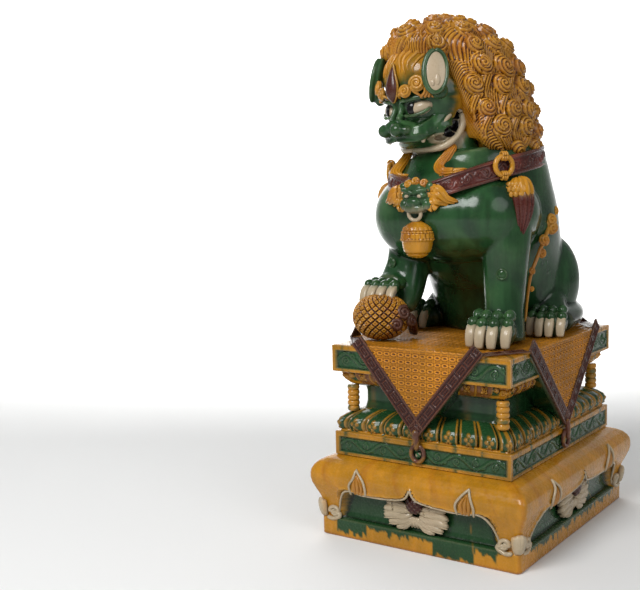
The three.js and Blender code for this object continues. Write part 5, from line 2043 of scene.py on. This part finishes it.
def flank_fringe():
    made = []
    line = np.array(
        [
            (214, 84, 985), (225, 56, 955), (228, 30, 925), (226, 0, 890), (221, -34, 845),
            (213, -66, 790), (208, -80, 720), (204, -86, 650),
        ],
        float,
    )
    lumps = [
        cord(through(line, 70), np.interp(np.linspace(0, 1, 70), [0, 0.1, 0.6, 1], [4, 7, 6, 3.5]), 12)
    ]
    for k, (spot, r) in enumerate(
        ((0.04, 17), (0.16, 23), (0.29, 23), (0.42, 20), (0.55, 16), (0.68, 12), (0.8, 9))
    ):
        at = through(line, 101)[int(spot * 100)]
        lumps += snail(
            at + (5, -13 if k % 2 else 13, 0), r, (0.9, -0.45, 0.1), 90 + 180 * (k % 2),
            1 if k % 2 else -1, 1.8,
        )
    left = join("flank_fringe_l", lumps)
    right = mirrored(left, "flank_fringe_r")
    move(right, points(right) - (20, 0, 0))
    for piece in (left, right):
        made.append(in_lion(amber_hair(piece), AMBER_GLAZE))
    return made


def tail():
    stops = []
    for i in range(7):
        wide = 16 if i == 6 else (62 if i % 2 else 46)
        stops.append(
            (
                -6, 348 + 14 * math.sin(i / 2) - (44 if i == 6 else 0), 636 + i * 54, wide,
                12 if i == 6 else 30,
            )
        )
    stem = grooved(strand(stops, 128, 90, 0.06), 18, 1.8)
    lumps = [stem]
    for i, z in enumerate((700, 790, 880)):
        for s in (-1, 1):
            lumps += snail((-6 + s * 40, 378 - 5 * i, z), 38 - 3 * i, (s * 0.5, 1, 0.1), 90, s, 2.4)
    lumps += snail((-6, 376, 652), 34, (0, 1, 0), 0, 1, 2.4)
    piece = join("tail", lumps)
    return in_lion(amber_hair(piece), AMBER_GLAZE)


def lion():
    made = [
        *body(), mane(), *head(), collar(), *tassel("tassel_l", 56), *tassel("tassel_r", -76),
        *chest_mask(), *brocade_ball()
    ]
    made += [*flank_fringe(), tail(), *raised_paw(), *paw("left_forepaw", *FOREPAW)]
    for s, side in ((1, "left"), (-1, "right")):
        made += paw(side + "_hindpaw", s * HIND_X, HIND_Y, s * HIND_TURN, HIND_SIZE)
    return made


# ---------- setting ----------
def light(name, at, target, size, power, tint=(1, 1, 1)):
    data = bpy.data.lights.new(name, "AREA")
    data.shape, data.size, data.energy, data.color = "DISK", size, power, tint
    lamp = bpy.data.objects.new(name, data)
    lamp.location = at
    lamp.rotation_euler = (Vector(target) - Vector(at)).to_track_quat("-Z", "Y").to_euler()
    bpy.context.collection.objects.link(lamp)


EYE = Vector((1.4407, -2.8755, 1.0692))  # the camera, in metres
YAW, PITCH, ROLL = 0.619, math.radians(6.15), math.radians(1.34)
SENSOR, LENS = 36, 56.77
SWEEP_HALF_WIDTH, SWEEP_LENGTH, SWEEP_BEFORE = 16000, 34000, 14000  # the curved backdrop, in millimetres
SWEEP_FLAT, SWEEP_BEND = 5200, 2600


def setting():
    ahead = Vector((0, math.cos(PITCH), -math.sin(PITCH)))
    upright = Vector((0, math.sin(PITCH), math.cos(PITCH)))
    side = Vector((math.cos(ROLL), 0, 0)) - upright * math.sin(ROLL)
    up = Vector((math.sin(ROLL), 0, 0)) + upright * math.cos(ROLL)
    spin = Matrix.Rotation(YAW, 3, "Z")
    axes = Matrix([spin @ side, spin @ up, -(spin @ ahead)]).transposed()
    lens = bpy.data.cameras.new("camera")
    lens.sensor_width, lens.lens = SENSOR, LENS
    camera = bpy.data.objects.new("camera", lens)
    camera.matrix_world = Matrix.Translation(EYE) @ axes.to_4x4()
    bpy.context.collection.objects.link(camera)
    bpy.context.scene.camera = camera

    bare()
    bpy.ops.mesh.primitive_grid_add(x_subdivisions=2, y_subdivisions=96, size=2)
    floor = bpy.context.object
    floor.name = "studio_sweep"
    co = points(floor)
    across = co[:, 0] / co[:, 0].max() * SWEEP_HALF_WIDTH
    run = (co[:, 1] / co[:, 1].max() + 1) * SWEEP_LENGTH / 2 - SWEEP_BEFORE
    turn = np.clip((run - SWEEP_FLAT) / SWEEP_BEND, 0, np.pi / 2)
    deep = np.minimum(run, SWEEP_FLAT) + SWEEP_BEND * np.sin(turn)
    high = SWEEP_BEND * (1 - np.cos(turn)) + np.maximum(run - SWEEP_FLAT - SWEEP_BEND * np.pi / 2, 0)
    c, n = math.cos(YAW), math.sin(YAW)
    move(floor, np.column_stack([across * c - deep * n, across * n + deep * c, high]))
    floor.data.shade_smooth()
    pale = Glaze("pale_backdrop")
    floor.data.materials.append(
        pale.set(Base_Color=(0.8, 0.8, 0.79, 1), Roughness=1.0, Specular_IOR_Level=0.0)
    )

    light("key", (-0.4, -4.8, 4.6), (0, 0, 0.9), 3.0, 290)
    light("fill", (4.8, -1.8, 3.4), (0, 0, 0.8), 3.6, 70)
    light("back", (-3.4, 2.6, 4.4), (0, 0, 1.0), 3.0, 60)
    light("backdrop", (-2.2, 3.0, 3.6), (-4.4, 6.4, 0.6), 3.0, 480)
    world = bpy.data.worlds.new("studio")
    world.use_nodes = True
    world.node_tree.nodes["Background"].inputs["Color"].default_value = (0.95, 0.97, 1.0, 1)
    world.node_tree.nodes["Background"].inputs["Strength"].default_value = 0.3
    bpy.context.scene.world = world


bpy.context.scene.view_settings.view_transform = "Standard"
setting()
plinth()
pedestal()
lion()
